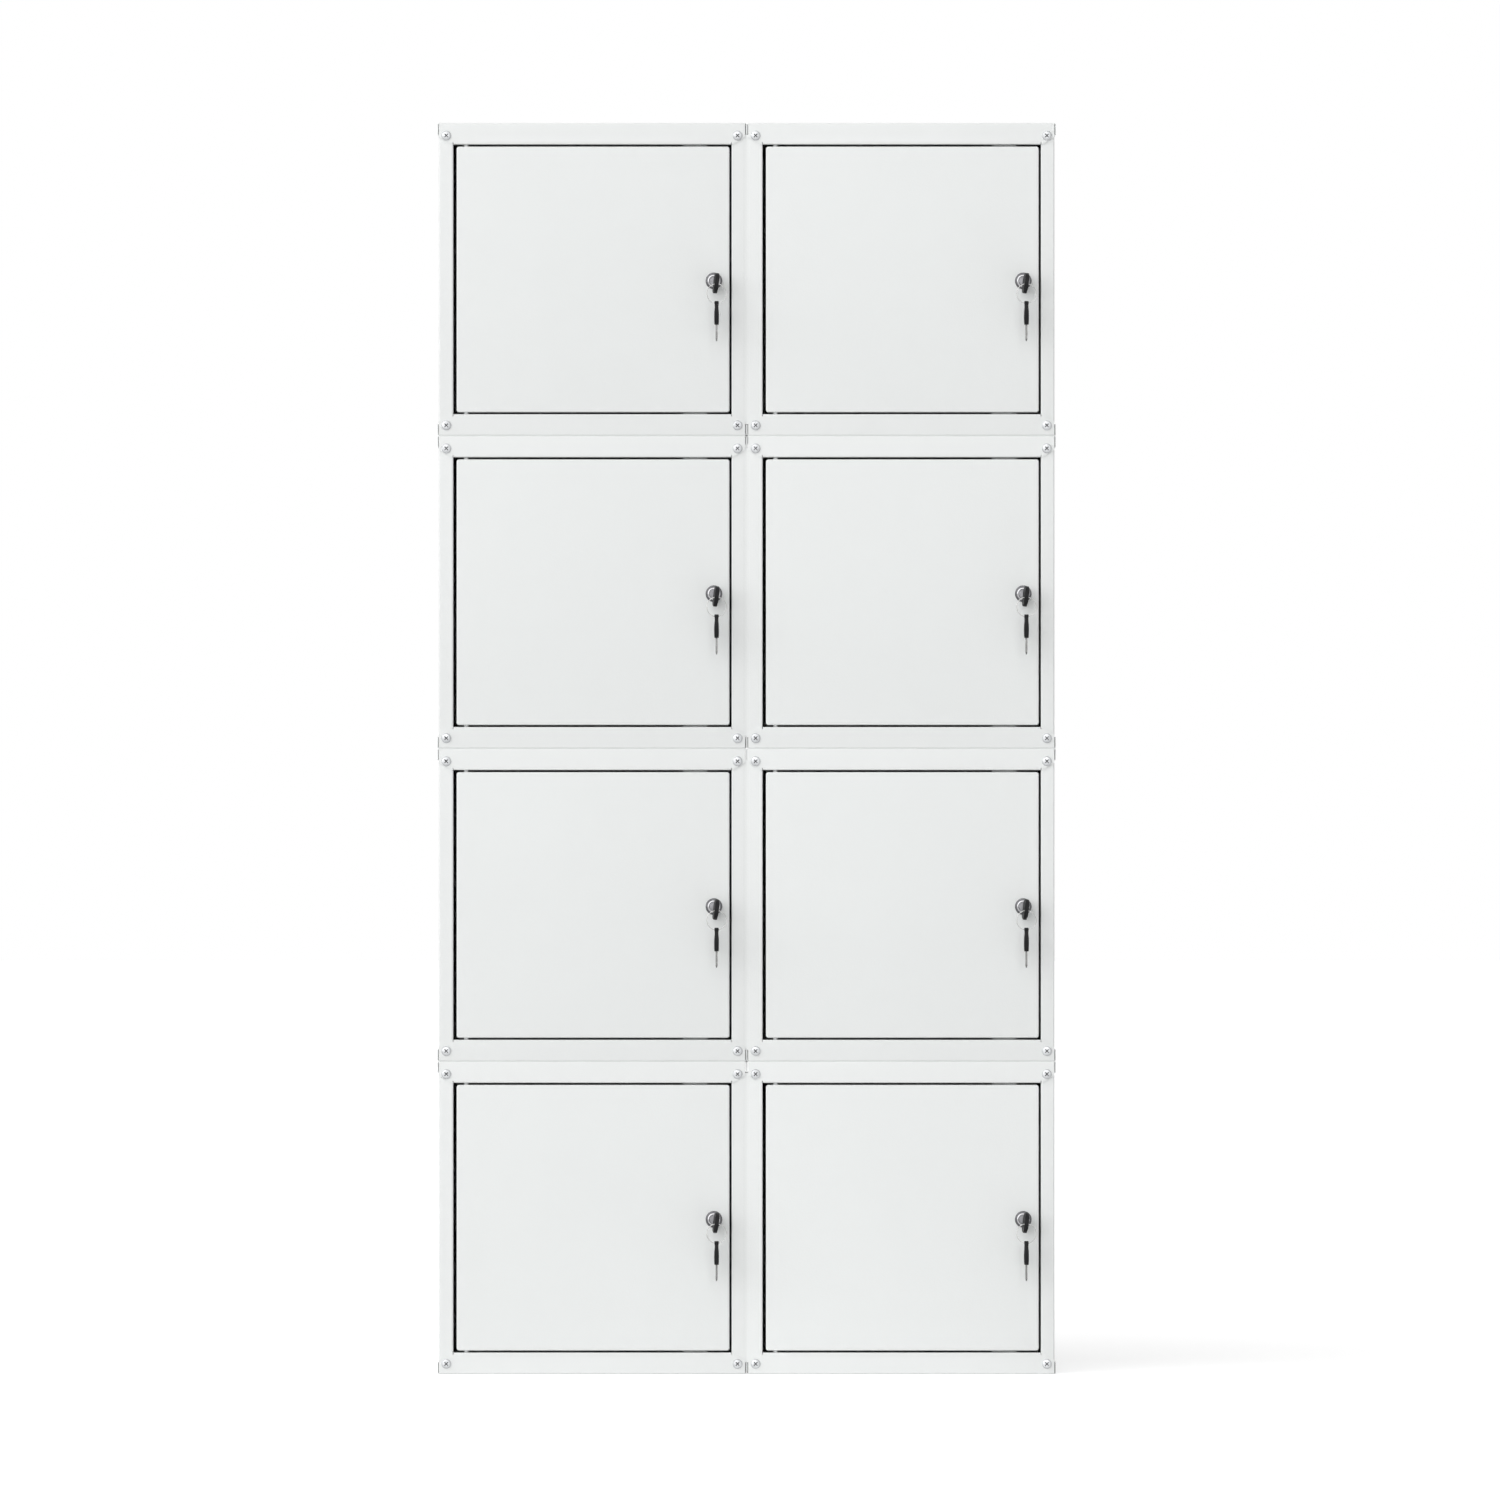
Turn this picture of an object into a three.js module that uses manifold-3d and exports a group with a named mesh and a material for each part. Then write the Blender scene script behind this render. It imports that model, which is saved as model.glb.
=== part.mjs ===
// A bank of eight steel cube lockers, two columns of four, bolted into one piece of furniture.
// Millimetres, +Z up. The doors face -Y. The origin is on the floor, at the centre of the footprint.
// Each cube is a folded wrap (stiles, sides and back) closed by a top and a bottom panel that lap
// outside it, and a door pan on pivot pins with a cam lock, its key and a spare key on a wire ring.

import * as THREE from 'three';
import { mergeVertices } from 'three/addons/utils/BufferGeometryUtils.js';
import Module from 'manifold-3d';

const wasm = await Module();
wasm.setup();

// Bank
const columns = 2;
const rows = 4;
const stackGap = 0.3;

// Cube
const cubeWidth = 381;
const cubeHeight = 385.3;
const cubeDepth = 381;
const sheet = 1;
const bendRadius = 1.6;
const fit = 0.3;

// Frame round the door
const stileLeft = 19.5;
const stileRight = 18.35;
const railTop = 26.35;
const railBottom = 26.35;
const revealDepth = 17;
const flangeHeight = 14;
const flangeSetback = 2.5;
const slitWidth = 0.7;
const railCornerRise = 9;
const railCornerInset = 2;

// Corner screws
const screwHeadRadius = 6;
const screwCrownRadius = 4.2;
const screwHeadHeight = 2.4;
const screwCrownHeight = 2.1;
const screwRimHeight = 0.8;
const screwSide = 11;
const screwTopDrop = 15.5;
const screwBottomRise = 12.6;

// Door pan
const doorGapLeft = 4.2;
const doorGapRight = 2.6;
const doorGapTop = 2.6;
const doorGapBottom = 2.5;
const doorDepth = 14.4;
const doorCornerRadius = 3;
const doorLip = 7;

// Pivot pins
const pinFromDoorEdge = 11.7;
const pinFromDoorFront = 7.2;
const pinShoulderRadius = 2;
const pinStubRadius = 1.5;
const pinStubReach = 2.5;
const pinClearance = 0.4;

// Door stops
const stopWidth = 30;
const stopHeight = 8;
const stopFromStile = 30;

// Cam lock
const lockFromDoorEdge = 19.15;
const lockHeight = 190.7;
const bezelRadius = 10.25;
const bezelRimRadius = 9.2;
const bezelFlange = 1.2;
const bezelFoot = 0.7;
const bezelHeight = 2.4;
const bossRadius = 7.7;
const bossCrown = 6.7;
const barrelRadius = 8;
const barrelFlat = 6.6;
const barrelLength = 16.2;
const barrelClearance = 0.3;
const nutAcrossCorners = 23;
const nutThickness = 4;
const plugRadius = 5.5;
const plugClearance = 0.25;
const plugRecess = 0.4;
const keywayWidth = 3.4;
const keywayHeight = 9;
const keywayDepth = 1.2;
const camLength = 33;
const camWidth = 15;
const camThickness = 2;
const camTipWidth = 11;
const camGap = 1.1;
const camScrewRadius = 4.5;
const camScrewHeight = 2.6;

// Keys
const headLength = 29;
const headWidth = 25.3;
const headNeckWidth = 15;
const headThickness = 5.4;
const headFlare = 8;
const headDrop = 3.2;
const headHoleRadius = 3;
const headHoleFromEnd = 5.5;
const bladeLength = 20.3;
const bladeWidth = 7.6;
const bladeThickness = 2.2;
const bladeTip = 3;
const bladeNotch = 1.3;
const bladeCuts = 3;
const cutMiddleShare = 0.5;
const keyStandOff = 1.6;
const keyLean = THREE.MathUtils.degToRad(7);
const keyTurn = THREE.MathUtils.degToRad(7);
const keyPivotDepth = 5;

// Thickness of a key head from its blade to its end, in shares of its greatest, and where, in shares
// of its length
const bladeEndShare = 0.86;
const gripPlaceShare = 0.36;
const waistPlaceShare = 0.76;
const waistShare = 0.77;
const farEndShare = 0.9;

// Key ring
const ringRadius = 12;
const wireRadius = 0.7;
const ringRest = 1;
const ringSeat = 0.3;

// Joining bolts between the columns, and the strips that fill the seam
const boltRadius = 3;
const boltHoleRadius = 3.5;
const boltDepth = 60;
const boltHeadRadius = 7;
const boltHeadHeight = 3.2;
const boltNutCorners = 11.5;
const boltNutThickness = 5;
const stripPastBolt = 7;

// Fineness of curves
const bendSteps = 2;
const arcSteps = 1;
const headSteps = 3;
const screwSides = 8;
const pinSides = 6;
const bezelSides = 16;
const plugSides = 12;
const ringSides = 14;
const wireSides = 4;
const boltSides = 8;
const hexSides = 6;

// What the other sizes give
const quarterTurn = Math.PI / 2;
const overrun = 1;
const sideInset = sheet + slitWidth;
const stileFront = sheet + fit;
const backFace = cubeDepth - sheet - fit;
const openingRight = cubeWidth - stileRight;
const openingTop = cubeHeight - railTop;
const doorFront = stileFront;
const doorLeft = stileLeft + doorGapLeft;
const doorRight = openingRight - doorGapRight;
const doorBottom = railBottom + doorGapBottom;
const doorTop = openingTop - doorGapTop;
const hingeX = doorLeft + pinFromDoorEdge;
const hingeY = doorFront + pinFromDoorFront;
const lockX = doorRight - lockFromDoorEdge;
const bezelFront = doorFront - bezelHeight;
const plugFront = bezelFront + plugRecess;
const barrelBack = doorFront + barrelLength;
const camFront = barrelBack + camGap;
const camBack = camFront + camThickness;
const keyBase = plugFront - keyStandOff;
const keyHoleReach = keyPivotDepth - keyBase + headLength - headHoleFromEnd;
const keyHoleSwerve = keyHoleReach * Math.sin(keyLean);
const ringX = lockX + keyHoleSwerve * Math.cos(keyTurn) - headDrop * Math.sin(keyTurn);
const ringY = keyPivotDepth - keyHoleReach * Math.cos(keyLean);
const ringTop = lockHeight - keyHoleSwerve * Math.sin(keyTurn) - headDrop * Math.cos(keyTurn) - ringRest;
const ringBottom = ringTop - 2 * ringRadius;
const spareHole = ringBottom - (headHoleRadius - wireRadius + ringSeat);
const spareTop = spareHole + headHoleFromEnd;
const frontReach = ringY - headWidth / 2;
const bankWidth = columns * cubeWidth + (columns - 1) * stackGap;
const frontPlane = -(cubeDepth + frontReach) / 2;

const paint = new THREE.MeshStandardMaterial({ color: 0xeceeed, roughness: 0.42, metalness: 0 });
const doorPaint = new THREE.MeshStandardMaterial({ color: 0xe8eaea, roughness: 0.42, metalness: 0 });
const chrome = new THREE.MeshStandardMaterial({ color: 0xc9cbce, roughness: 0.14, metalness: 1 });
const keyBlack = new THREE.MeshStandardMaterial({ color: 0x151516, roughness: 0.45, metalness: 0 });
const zinc = new THREE.MeshStandardMaterial({ color: 0xb9bcbf, roughness: 0.32, metalness: 1 });

// Turns a closed geometry into a solid that can be cut and joined
function solid(geometry) {
  const bare = geometry.clone();
  bare.deleteAttribute('normal');
  bare.deleteAttribute('uv');
  const merged = mergeVertices(bare);
  const corners = [];
  for (let i = 0; i < merged.index.count; i += 3) {
    const [a, b, c] = [0, 1, 2].map((k) => merged.index.getX(i + k));
    if (a !== b && b !== c && c !== a) corners.push(a, b, c);
  }
  const vertProperties = Float32Array.from(merged.attributes.position.array);
  const triVerts = Uint32Array.from(corners);
  return new wasm.Manifold(new wasm.Mesh({ numProp: 3, vertProperties, triVerts }));
}

function namedMesh(name, shape, material) {
  const { vertProperties, triVerts } = shape.getMesh();
  const geometry = new THREE.BufferGeometry();
  geometry.setAttribute('position', new THREE.BufferAttribute(Float32Array.from(vertProperties), 3));
  geometry.setIndex(new THREE.BufferAttribute(Uint32Array.from(triVerts), 1));
  geometry.computeVertexNormals();
  const mesh = new THREE.Mesh(geometry, material);
  mesh.name = name;
  return mesh;
}

function extruded(shape, depth, curveSegments = arcSteps) {
  return new THREE.ExtrudeGeometry(shape, { depth, curveSegments, bevelEnabled: false });
}

// A shape drawn in Y and Z, pushed along X from start to end
function alongX(shape, start, end, curveSegments) {
  const turn = new THREE.Matrix4().makeBasis(
    new THREE.Vector3(0, 1, 0), new THREE.Vector3(0, 0, 1), new THREE.Vector3(1, 0, 0));
  return solid(extruded(shape, end - start, curveSegments).applyMatrix4(turn).translate(start, 0, 0));
}

// A shape drawn in X and Z, pushed along Y from start to end
function alongY(shape, start, end, curveSegments) {
  const turn = new THREE.Matrix4().makeBasis(
    new THREE.Vector3(1, 0, 0), new THREE.Vector3(0, 0, 1), new THREE.Vector3(0, -1, 0));
  return solid(extruded(shape, end - start, curveSegments).applyMatrix4(turn).translate(0, end, 0));
}

// A shape drawn in X and Y, pushed along Z from start to end
function alongZ(shape, start, end, curveSegments) {
  return solid(extruded(shape, end - start, curveSegments).translate(0, 0, start));
}

function polygon(points) {
  return new THREE.Shape(points.map(([a, b]) => new THREE.Vector2(a, b)));
}

function rectangle(a0, b0, a1, b1) {
  return polygon([[a0, b0], [a1, b0], [a1, b1], [a0, b1]]);
}

function regular(a, b, radius, sides) {
  const points = [];
  for (let i = 0; i < sides; i += 1) {
    const angle = Math.PI * (2 * i + 1) / sides;
    points.push([a + radius * Math.cos(angle), b + radius * Math.sin(angle)]);
  }
  return polygon(points);
}

function roundedRectangle(a0, b0, a1, b1, radius) {
  const shape = new THREE.Shape();
  const centres = [[a1 - radius, b1 - radius], [a0 + radius, b1 - radius], [a0 + radius, b0 + radius],
    [a1 - radius, b0 + radius]];
  centres.forEach(([a, b], corner) => {
    shape.absarc(a, b, radius, corner * quarterTurn, (corner + 1) * quarterTurn);
  });
  return shape;
}

// The section of a folded sheet: its outer face follows the points, with a round bend at each
// square corner, and every bend turns the same way with the sheet on its inner side. The small
// inner side of a bend is one flat facet.
function foldedSheet(places) {
  const points = places.map(([a, b]) => new THREE.Vector2(a, b));
  const runs = points.slice(1).map((point, i) => point.clone().sub(points[i]).normalize());
  const side = Math.sign(runs[0].cross(runs[1]));
  const inward = (run) => new THREE.Vector2(-run.y, run.x).multiplyScalar(side);
  const outer = [points[0]];
  const inner = [points[0].clone().addScaledVector(inward(runs[0]), sheet)];
  for (let i = 1; i < runs.length; i += 1) {
    const centre = points[i].clone();
    centre.addScaledVector(runs[i - 1], -bendRadius);
    centre.addScaledVector(runs[i], bendRadius);
    const from = inward(runs[i - 1]).negate().angle();
    for (let step = 0; step <= bendSteps; step += 1) {
      const angle = from + side * quarterTurn * step / bendSteps;
      const spoke = new THREE.Vector2(Math.cos(angle), Math.sin(angle));
      outer.push(centre.clone().addScaledVector(spoke, bendRadius));
      if (step % bendSteps === 0) inner.push(centre.clone().addScaledVector(spoke, bendRadius - sheet));
    }
  }
  const last = points[points.length - 1];
  outer.push(last);
  inner.push(last.clone().addScaledVector(inward(runs[runs.length - 1]), sheet));
  return new THREE.Shape([...outer, ...inner.reverse()]);
}

// A solid of revolution about an axis along Y, from (radius, y) pairs that start and end on the axis
function turned(profile, x, z, sides) {
  const points = profile.map(([radius, y]) => new THREE.Vector2(radius, y));
  return solid(new THREE.LatheGeometry(points, sides).translate(x, 0, z));
}

// One sheet folded into the two stiles, the two sides and the back
function caseWrap() {
  const section = foldedSheet([
    [stileLeft, revealDepth],
    [stileLeft, stileFront],
    [sideInset, stileFront],
    [sideInset, backFace],
    [cubeWidth - sideInset, backFace],
    [cubeWidth - sideInset, stileFront],
    [openingRight, stileFront],
    [openingRight, revealDepth],
  ]);
  const wrap = alongZ(section, sheet + fit, cubeHeight - sheet - fit);
  const boltHoles = regular(boltDepth, cubeHeight / 2, boltHoleRadius, boltSides);
  return wrap.subtract(alongX(boltHoles, -overrun, cubeWidth + overrun));
}

// A pan-head screw seated on the rail
function screwHead(x, z) {
  return turned([
    [0, -screwHeadHeight],
    [screwCrownRadius, -screwCrownHeight],
    [screwHeadRadius, -screwRimHeight],
    [screwHeadRadius, sheet / 2],
    [0, sheet / 2],
  ], x, z, screwSides);
}

// A top panel with its outer face at Z zero: sheet, rear flange, front rail, reveal, side flanges,
// pivot hole, door stop and the two screws that fix the rail to the stiles. The bottom panel is the
// same pressing turned over, so the places along X are given for each.
function railPanel({ rail, openingStart, openingEnd, pivotX, stopStart, screwDrop }) {
  const section = foldedSheet([
    [cubeDepth, -flangeHeight],
    [cubeDepth, 0],
    [0, 0],
    [0, -rail],
    [revealDepth, -rail],
  ]);
  let panel = alongX(section, sideInset, cubeWidth - sideInset);
  for (const [near, far] of [[sideInset, openingStart], [cubeWidth - sideInset, openingEnd]]) {
    const outwards = Math.sign(near - far);
    const past = near + outwards * overrun;
    const revealEnd = far - outwards * fit;
    const ends = [past, revealEnd].sort((a, b) => a - b);
    const behindRail = sheet + fit / 3;
    const notch = rectangle(behindRail, -rail - overrun, revealDepth + overrun, -rail + 2 * bendRadius);
    panel = panel.subtract(alongX(notch, ...ends));
    const foot = far + outwards * railCornerInset;
    const slope = railCornerRise / (near - foot);
    const corner = polygon([
      [foot - outwards * overrun, -rail - outwards * overrun * slope],
      [past, -rail + (past - foot) * slope],
      [past, -rail - outwards * overrun * slope],
    ]);
    panel = panel.subtract(alongY(corner, -overrun, sheet + fit / 2));
    panel = panel.add(screwHead(near - outwards * (screwSide - sideInset), -screwDrop));
  }
  const leftFlange = foldedSheet([[sideInset + sheet, 0], [0, 0], [0, -flangeHeight]]);
  const rightFlange = foldedSheet([
    [cubeWidth - sideInset - sheet, 0],
    [cubeWidth, 0],
    [cubeWidth, -flangeHeight],
  ]);
  for (const flange of [leftFlange, rightFlange]) {
    panel = panel.add(alongY(flange, flangeSetback, cubeDepth - flangeSetback));
  }
  const stopFold = rectangle(revealDepth - sheet, -rail - stopHeight, revealDepth, -rail + sheet / 2);
  panel = panel.add(alongX(stopFold, stopStart, stopStart + stopWidth));
  const pivotHole = regular(pivotX, hingeY, pinStubRadius + pinClearance, pinSides);
  return panel.subtract(alongZ(pivotHole, -rail - overrun, -rail + sheet + overrun));
}

function topPanel() {
  const panel = railPanel({
    rail: railTop,
    openingStart: stileLeft,
    openingEnd: openingRight,
    pivotX: hingeX,
    stopStart: openingRight - stopFromStile - stopWidth,
    screwDrop: screwTopDrop,
  });
  return panel.translate([0, 0, cubeHeight]);
}

function bottomPanel() {
  const panel = railPanel({
    rail: railBottom,
    openingStart: stileRight,
    openingEnd: cubeWidth - stileLeft,
    pivotX: cubeWidth - hingeX,
    stopStart: stileRight + stopFromStile,
    screwDrop: screwBottomRise,
  });
  return panel.rotate([0, 180, 0]).translate([cubeWidth, 0, 0]);
}

// The body outline of the lock and of its hole: a circle with a flat above and below
function doubleD(radius, flat) {
  const reach = Math.asin(flat / radius);
  const shape = new THREE.Shape();
  for (const facing of [0, 2 * quarterTurn]) {
    shape.absarc(lockX, lockHeight, radius, facing - reach, facing + reach);
  }
  return shape;
}

// A pin fixed in the door's edge: a shoulder that fills the gap and a stub that turns in the rail.
// It runs along Z from inside the door's edge, up for the top pin and down for the bottom one.
function pivotPin(edge, gap, direction) {
  const bar = (radius, ...reaches) => {
    const ends = reaches.map((reach) => edge + direction * reach).sort((a, b) => a - b);
    return alongZ(regular(hingeX, hingeY, radius, pinSides), ...ends);
  };
  const shoulder = bar(pinShoulderRadius, -sheet / 2, gap - fit);
  return shoulder.add(bar(pinStubRadius, 0, gap + sheet + pinStubReach));
}

// The door: a pan with four returns and rear lips, the lock's hole and the two pins
function door() {
  const outline = (inset) => {
    const start = [doorLeft + inset, doorBottom + inset];
    const end = [doorRight - inset, doorTop - inset];
    return roundedRectangle(...start, ...end, doorCornerRadius - Math.min(inset, sheet));
  };
  const back = doorFront + doorDepth;
  const lockHole = doubleD(barrelRadius + barrelClearance, barrelFlat + barrelClearance);
  return alongY(outline(0), doorFront, back)
    .subtract(alongY(outline(sheet), doorFront + sheet, back - sheet))
    .subtract(alongY(outline(doorLip), back - sheet - overrun, back + overrun))
    .subtract(alongY(lockHole, doorFront - overrun, doorFront + sheet + overrun))
    .add(pivotPin(doorTop, doorGapTop, 1))
    .add(pivotPin(doorBottom, doorGapBottom, -1));
}

// The lock's fixed part: a bezel with a domed boss, a flatted barrel through the door and the nut behind
function lockBarrel() {
  const seat = doorFront - fit / 2;
  const nutFront = doorFront + sheet + fit / 2;
  const bezel = turned([
    [0, bezelFront],
    [bossCrown, bezelFront],
    [bossRadius, doorFront - bezelFlange],
    [bezelRimRadius, doorFront - bezelFlange],
    [bezelRadius, doorFront - bezelFoot],
    [bezelRadius, seat],
    [0, seat],
  ], lockX, lockHeight, bezelSides);
  const barrel = alongY(doubleD(barrelRadius, barrelFlat), doorFront - bezelFoot, barrelBack);
  const hexagon = regular(lockX, lockHeight, nutAcrossCorners / 2, hexSides);
  const bore = regular(lockX, lockHeight, plugRadius + plugClearance, plugSides);
  return bezel
    .add(barrel)
    .add(alongY(hexagon, nutFront, nutFront + nutThickness))
    .subtract(alongY(bore, bezelFront - overrun, barrelBack + overrun));
}

// The moulded head of a key: X runs from the blade to the ring hole, Y across, Z through its thickness
function keyHead() {
  const half = headWidth / 2;
  const neck = headNeckWidth / 2;
  const shoulder = headLength - half;
  const outline = new THREE.Shape();
  outline.moveTo(0, -neck);
  outline.quadraticCurveTo(headFlare / 2, -half, shoulder, -half);
  outline.absarc(shoulder, 0, half, -quarterTurn, quarterTurn);
  outline.quadraticCurveTo(headFlare / 2, half, 0, neck);
  const hole = new THREE.Path();
  hole.absarc(headLength - headHoleFromEnd, 0, headHoleRadius, 0, 2 * Math.PI);
  outline.holes.push(hole);
  const slab = alongZ(outline, -headThickness / 2, headThickness / 2, headSteps);
  const stations = [
    [0, bladeEndShare],
    [gripPlaceShare, 1],
    [waistPlaceShare, waistShare],
    [1, farEndShare],
  ];
  const side = stations.map(([place, share]) => [place * headLength, share * headThickness / 2]);
  const otherSide = side.map(([place, thickness]) => [place, -thickness]).reverse();
  return slab.intersect(alongY(polygon([...side, ...otherSide]), -half - overrun, half + overrun));
}

// The cut blade, in the same frame, running away from the head and off the middle of it
function keyBlade() {
  const low = headDrop - bladeWidth / 2;
  const high = headDrop + bladeWidth / 2;
  const tipStart = bladeTip - bladeLength;
  const points = [[headFlare / 2, low], [headFlare / 2, high]];
  const pitch = -tipStart / (bladeCuts + 1);
  for (let cut = 1; cut <= bladeCuts; cut += 1) {
    points.push([-cut * pitch, high], [-(cut + cutMiddleShare) * pitch, high - bladeNotch]);
  }
  points.push([tipStart, high], [-bladeLength, headDrop], [tipStart, low]);
  return alongZ(polygon(points), -bladeThickness / 2, bladeThickness / 2);
}

// A whole key stood up in the YZ plane, with its X axis along one direction and its Y axis along another
function standingKey(along, across) {
  const turn = new THREE.Matrix4().makeBasis(along, across, along.clone().cross(across));
  return keyHead().add(keyBlade()).transform(turn.toArray());
}

// The turning part of the lock with the key in it: plug, cam, cam screw and key
function keyedPlug() {
  const key = standingKey(new THREE.Vector3(0, -1, 0), new THREE.Vector3(0, 0, 1))
    .translate([0, keyBase - keyPivotDepth, -headDrop])
    .rotate([0, 0, THREE.MathUtils.radToDeg(keyLean)])
    .translate([0, keyPivotDepth, 0]);
  const keyway = rectangle(-keywayWidth / 2, -keywayHeight / 2, keywayWidth / 2, keywayHeight / 2);
  const cam = polygon([
    [-camWidth / 2, -camWidth / 2],
    [camWidth / 2, -camWidth / 2],
    [camWidth / 2, camWidth / 2],
    [camTipWidth / 2, camLength],
    [-camTipWidth / 2, camLength],
    [-camWidth / 2, camWidth / 2],
  ]);
  const screw = regular(0, 0, camScrewRadius, hexSides);
  return alongY(regular(0, 0, plugRadius, plugSides), plugFront, camFront + camThickness / 2)
    .subtract(alongY(keyway, plugFront - overrun, plugFront + keywayDepth))
    .add(key)
    .rotate([0, THREE.MathUtils.radToDeg(keyTurn), 0])
    .add(alongY(cam, camFront, camBack))
    .add(alongY(screw, camBack - camThickness / 2, camBack + camScrewHeight))
    .translate([lockX, 0, lockHeight]);
}

// The wire ring through the hole of the inserted key, with the spare key hanging on it
function spareKey() {
  const key = standingKey(new THREE.Vector3(0, 0, 1), new THREE.Vector3(0, 1, 0))
    .translate([ringX, ringY, spareTop - headLength]);
  const wire = new THREE.TorusGeometry(ringRadius, wireRadius, wireSides, ringSides)
    .rotateX(quarterTurn)
    .translate(ringX, ringY, ringTop - ringRadius);
  return solid(wire).add(key);
}

// A bolt through the facing walls of two neighbours, with its head and nut, and the strip between the
// walls that it clamps. X zero is the middle of the gap between the two cubes.
function joiningBolt() {
  const wallOuter = stackGap / 2 + sideInset;
  const wallInner = wallOuter + sheet;
  const disc = (radius, sides, start, end) => {
    return alongX(regular(boltDepth, cubeHeight / 2, radius, sides), start, end);
  };
  const headSeat = -wallInner - fit / 2;
  const nutSeat = wallInner + fit / 2;
  const half = wallOuter - fit / 2;
  const strip = rectangle(-half, stileFront + fit, half, boltDepth + stripPastBolt);
  return disc(boltRadius, boltSides, headSeat - boltHeadHeight / 2, nutSeat + boltNutThickness + overrun)
    .add(disc(boltHeadRadius, boltSides, headSeat - boltHeadHeight, headSeat))
    .add(disc(boltNutCorners / 2, hexSides, nutSeat, nutSeat + boltNutThickness))
    .add(alongZ(strip, flangeHeight + fit, cubeHeight - flangeHeight - fit));
}

const pieces = [
  ['case_wrap', caseWrap(), paint],
  ['top_panel', topPanel(), paint],
  ['bottom_panel', bottomPanel(), paint],
  ['door', door(), doorPaint],
  ['lock_barrel', lockBarrel(), chrome],
  ['keyed_plug', keyedPlug(), keyBlack],
  ['spare_key', spareKey(), keyBlack],
];

const bank = new THREE.Group();
for (let row = 0; row < rows; row += 1) {
  const floor = (rows - 1 - row) * (cubeHeight + stackGap);
  for (let column = 0; column < columns; column += 1) {
    const number = row * columns + column + 1;
    const cube = new THREE.Group();
    cube.position.set(column * (cubeWidth + stackGap) - bankWidth / 2, frontPlane, floor);
    for (const [name, shape, material] of pieces) {
      cube.add(namedMesh(`${name}_${number}`, shape, material));
    }
    bank.add(cube);
  }
  const bolt = namedMesh(`joining_bolt_${row + 1}`, joiningBolt(), zinc);
  bolt.position.set(0, frontPlane, floor);
  bank.add(bolt);
}

export default bank;
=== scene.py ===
import math
from contextlib import contextmanager
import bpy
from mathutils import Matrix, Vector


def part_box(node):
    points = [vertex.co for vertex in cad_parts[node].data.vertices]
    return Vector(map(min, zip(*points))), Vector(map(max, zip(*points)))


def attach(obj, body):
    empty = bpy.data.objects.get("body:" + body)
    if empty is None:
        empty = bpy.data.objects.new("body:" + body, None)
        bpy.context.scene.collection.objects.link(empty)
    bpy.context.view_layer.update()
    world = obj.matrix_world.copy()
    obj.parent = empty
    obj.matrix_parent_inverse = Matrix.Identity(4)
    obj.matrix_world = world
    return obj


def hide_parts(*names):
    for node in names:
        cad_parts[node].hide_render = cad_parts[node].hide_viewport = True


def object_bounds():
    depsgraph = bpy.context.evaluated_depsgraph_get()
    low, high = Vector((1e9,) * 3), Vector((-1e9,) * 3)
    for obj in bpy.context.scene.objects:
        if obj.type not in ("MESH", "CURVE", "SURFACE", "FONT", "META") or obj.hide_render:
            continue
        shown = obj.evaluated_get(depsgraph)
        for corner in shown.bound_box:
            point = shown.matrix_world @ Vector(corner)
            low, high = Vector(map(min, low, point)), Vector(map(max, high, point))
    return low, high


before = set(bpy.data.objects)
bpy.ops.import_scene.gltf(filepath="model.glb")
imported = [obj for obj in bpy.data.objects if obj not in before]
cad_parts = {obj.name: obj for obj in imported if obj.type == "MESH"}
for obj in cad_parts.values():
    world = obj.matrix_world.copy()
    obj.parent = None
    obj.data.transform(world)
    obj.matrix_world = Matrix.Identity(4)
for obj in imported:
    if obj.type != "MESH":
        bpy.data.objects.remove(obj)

from types import SimpleNamespace

import bmesh
import bpy
from bpy.props import FloatProperty, FloatVectorProperty, PointerProperty
from mathutils import Matrix, Vector

# A bank of eight steel cube lockers, two columns of four, as a Blender add-on.
# Metres, +Z up, doors facing -Y. Every size and place in a cube is measured from the cube's lower left
# front corner, and the frame says where each cube stands.

bl_info = {
    "name": "Cube locker bank",
    "version": (1, 0, 0),
    "blender": (4, 5, 0),
    "location": "3D View > Sidebar > Lockers",
    "description": "Models and finishes a bank of eight steel cube lockers around its frame",
    "category": "Object",
}

CAD_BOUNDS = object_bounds()
COLUMNS = 2
ROWS = 4
CUBES = range(1, COLUMNS * ROWS + 1)
TOUCH = 1e-5
RIGHT_ANGLE = math.pi / 2
FOLD_ANGLE = math.radians(60)
FLAT_ANGLE = math.radians(1)


# Sizes and colours that a user would change

def length(name, description, millimetres):
    return FloatProperty(name=name, description=description, default=millimetres / 1000, min=0,
                         unit="LENGTH", precision=4)


def angle(name, description, degrees):
    return FloatProperty(name=name, description=description, default=math.radians(degrees),
                         subtype="ANGLE")


def share(name, description, value):
    return FloatProperty(name=name, description=description, default=value, min=0, max=1,
                         subtype="FACTOR")


def tint(name, description, value):
    return FloatVectorProperty(name=name, description=description, default=value, min=0, max=1, size=3,
                               subtype="COLOR")


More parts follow.
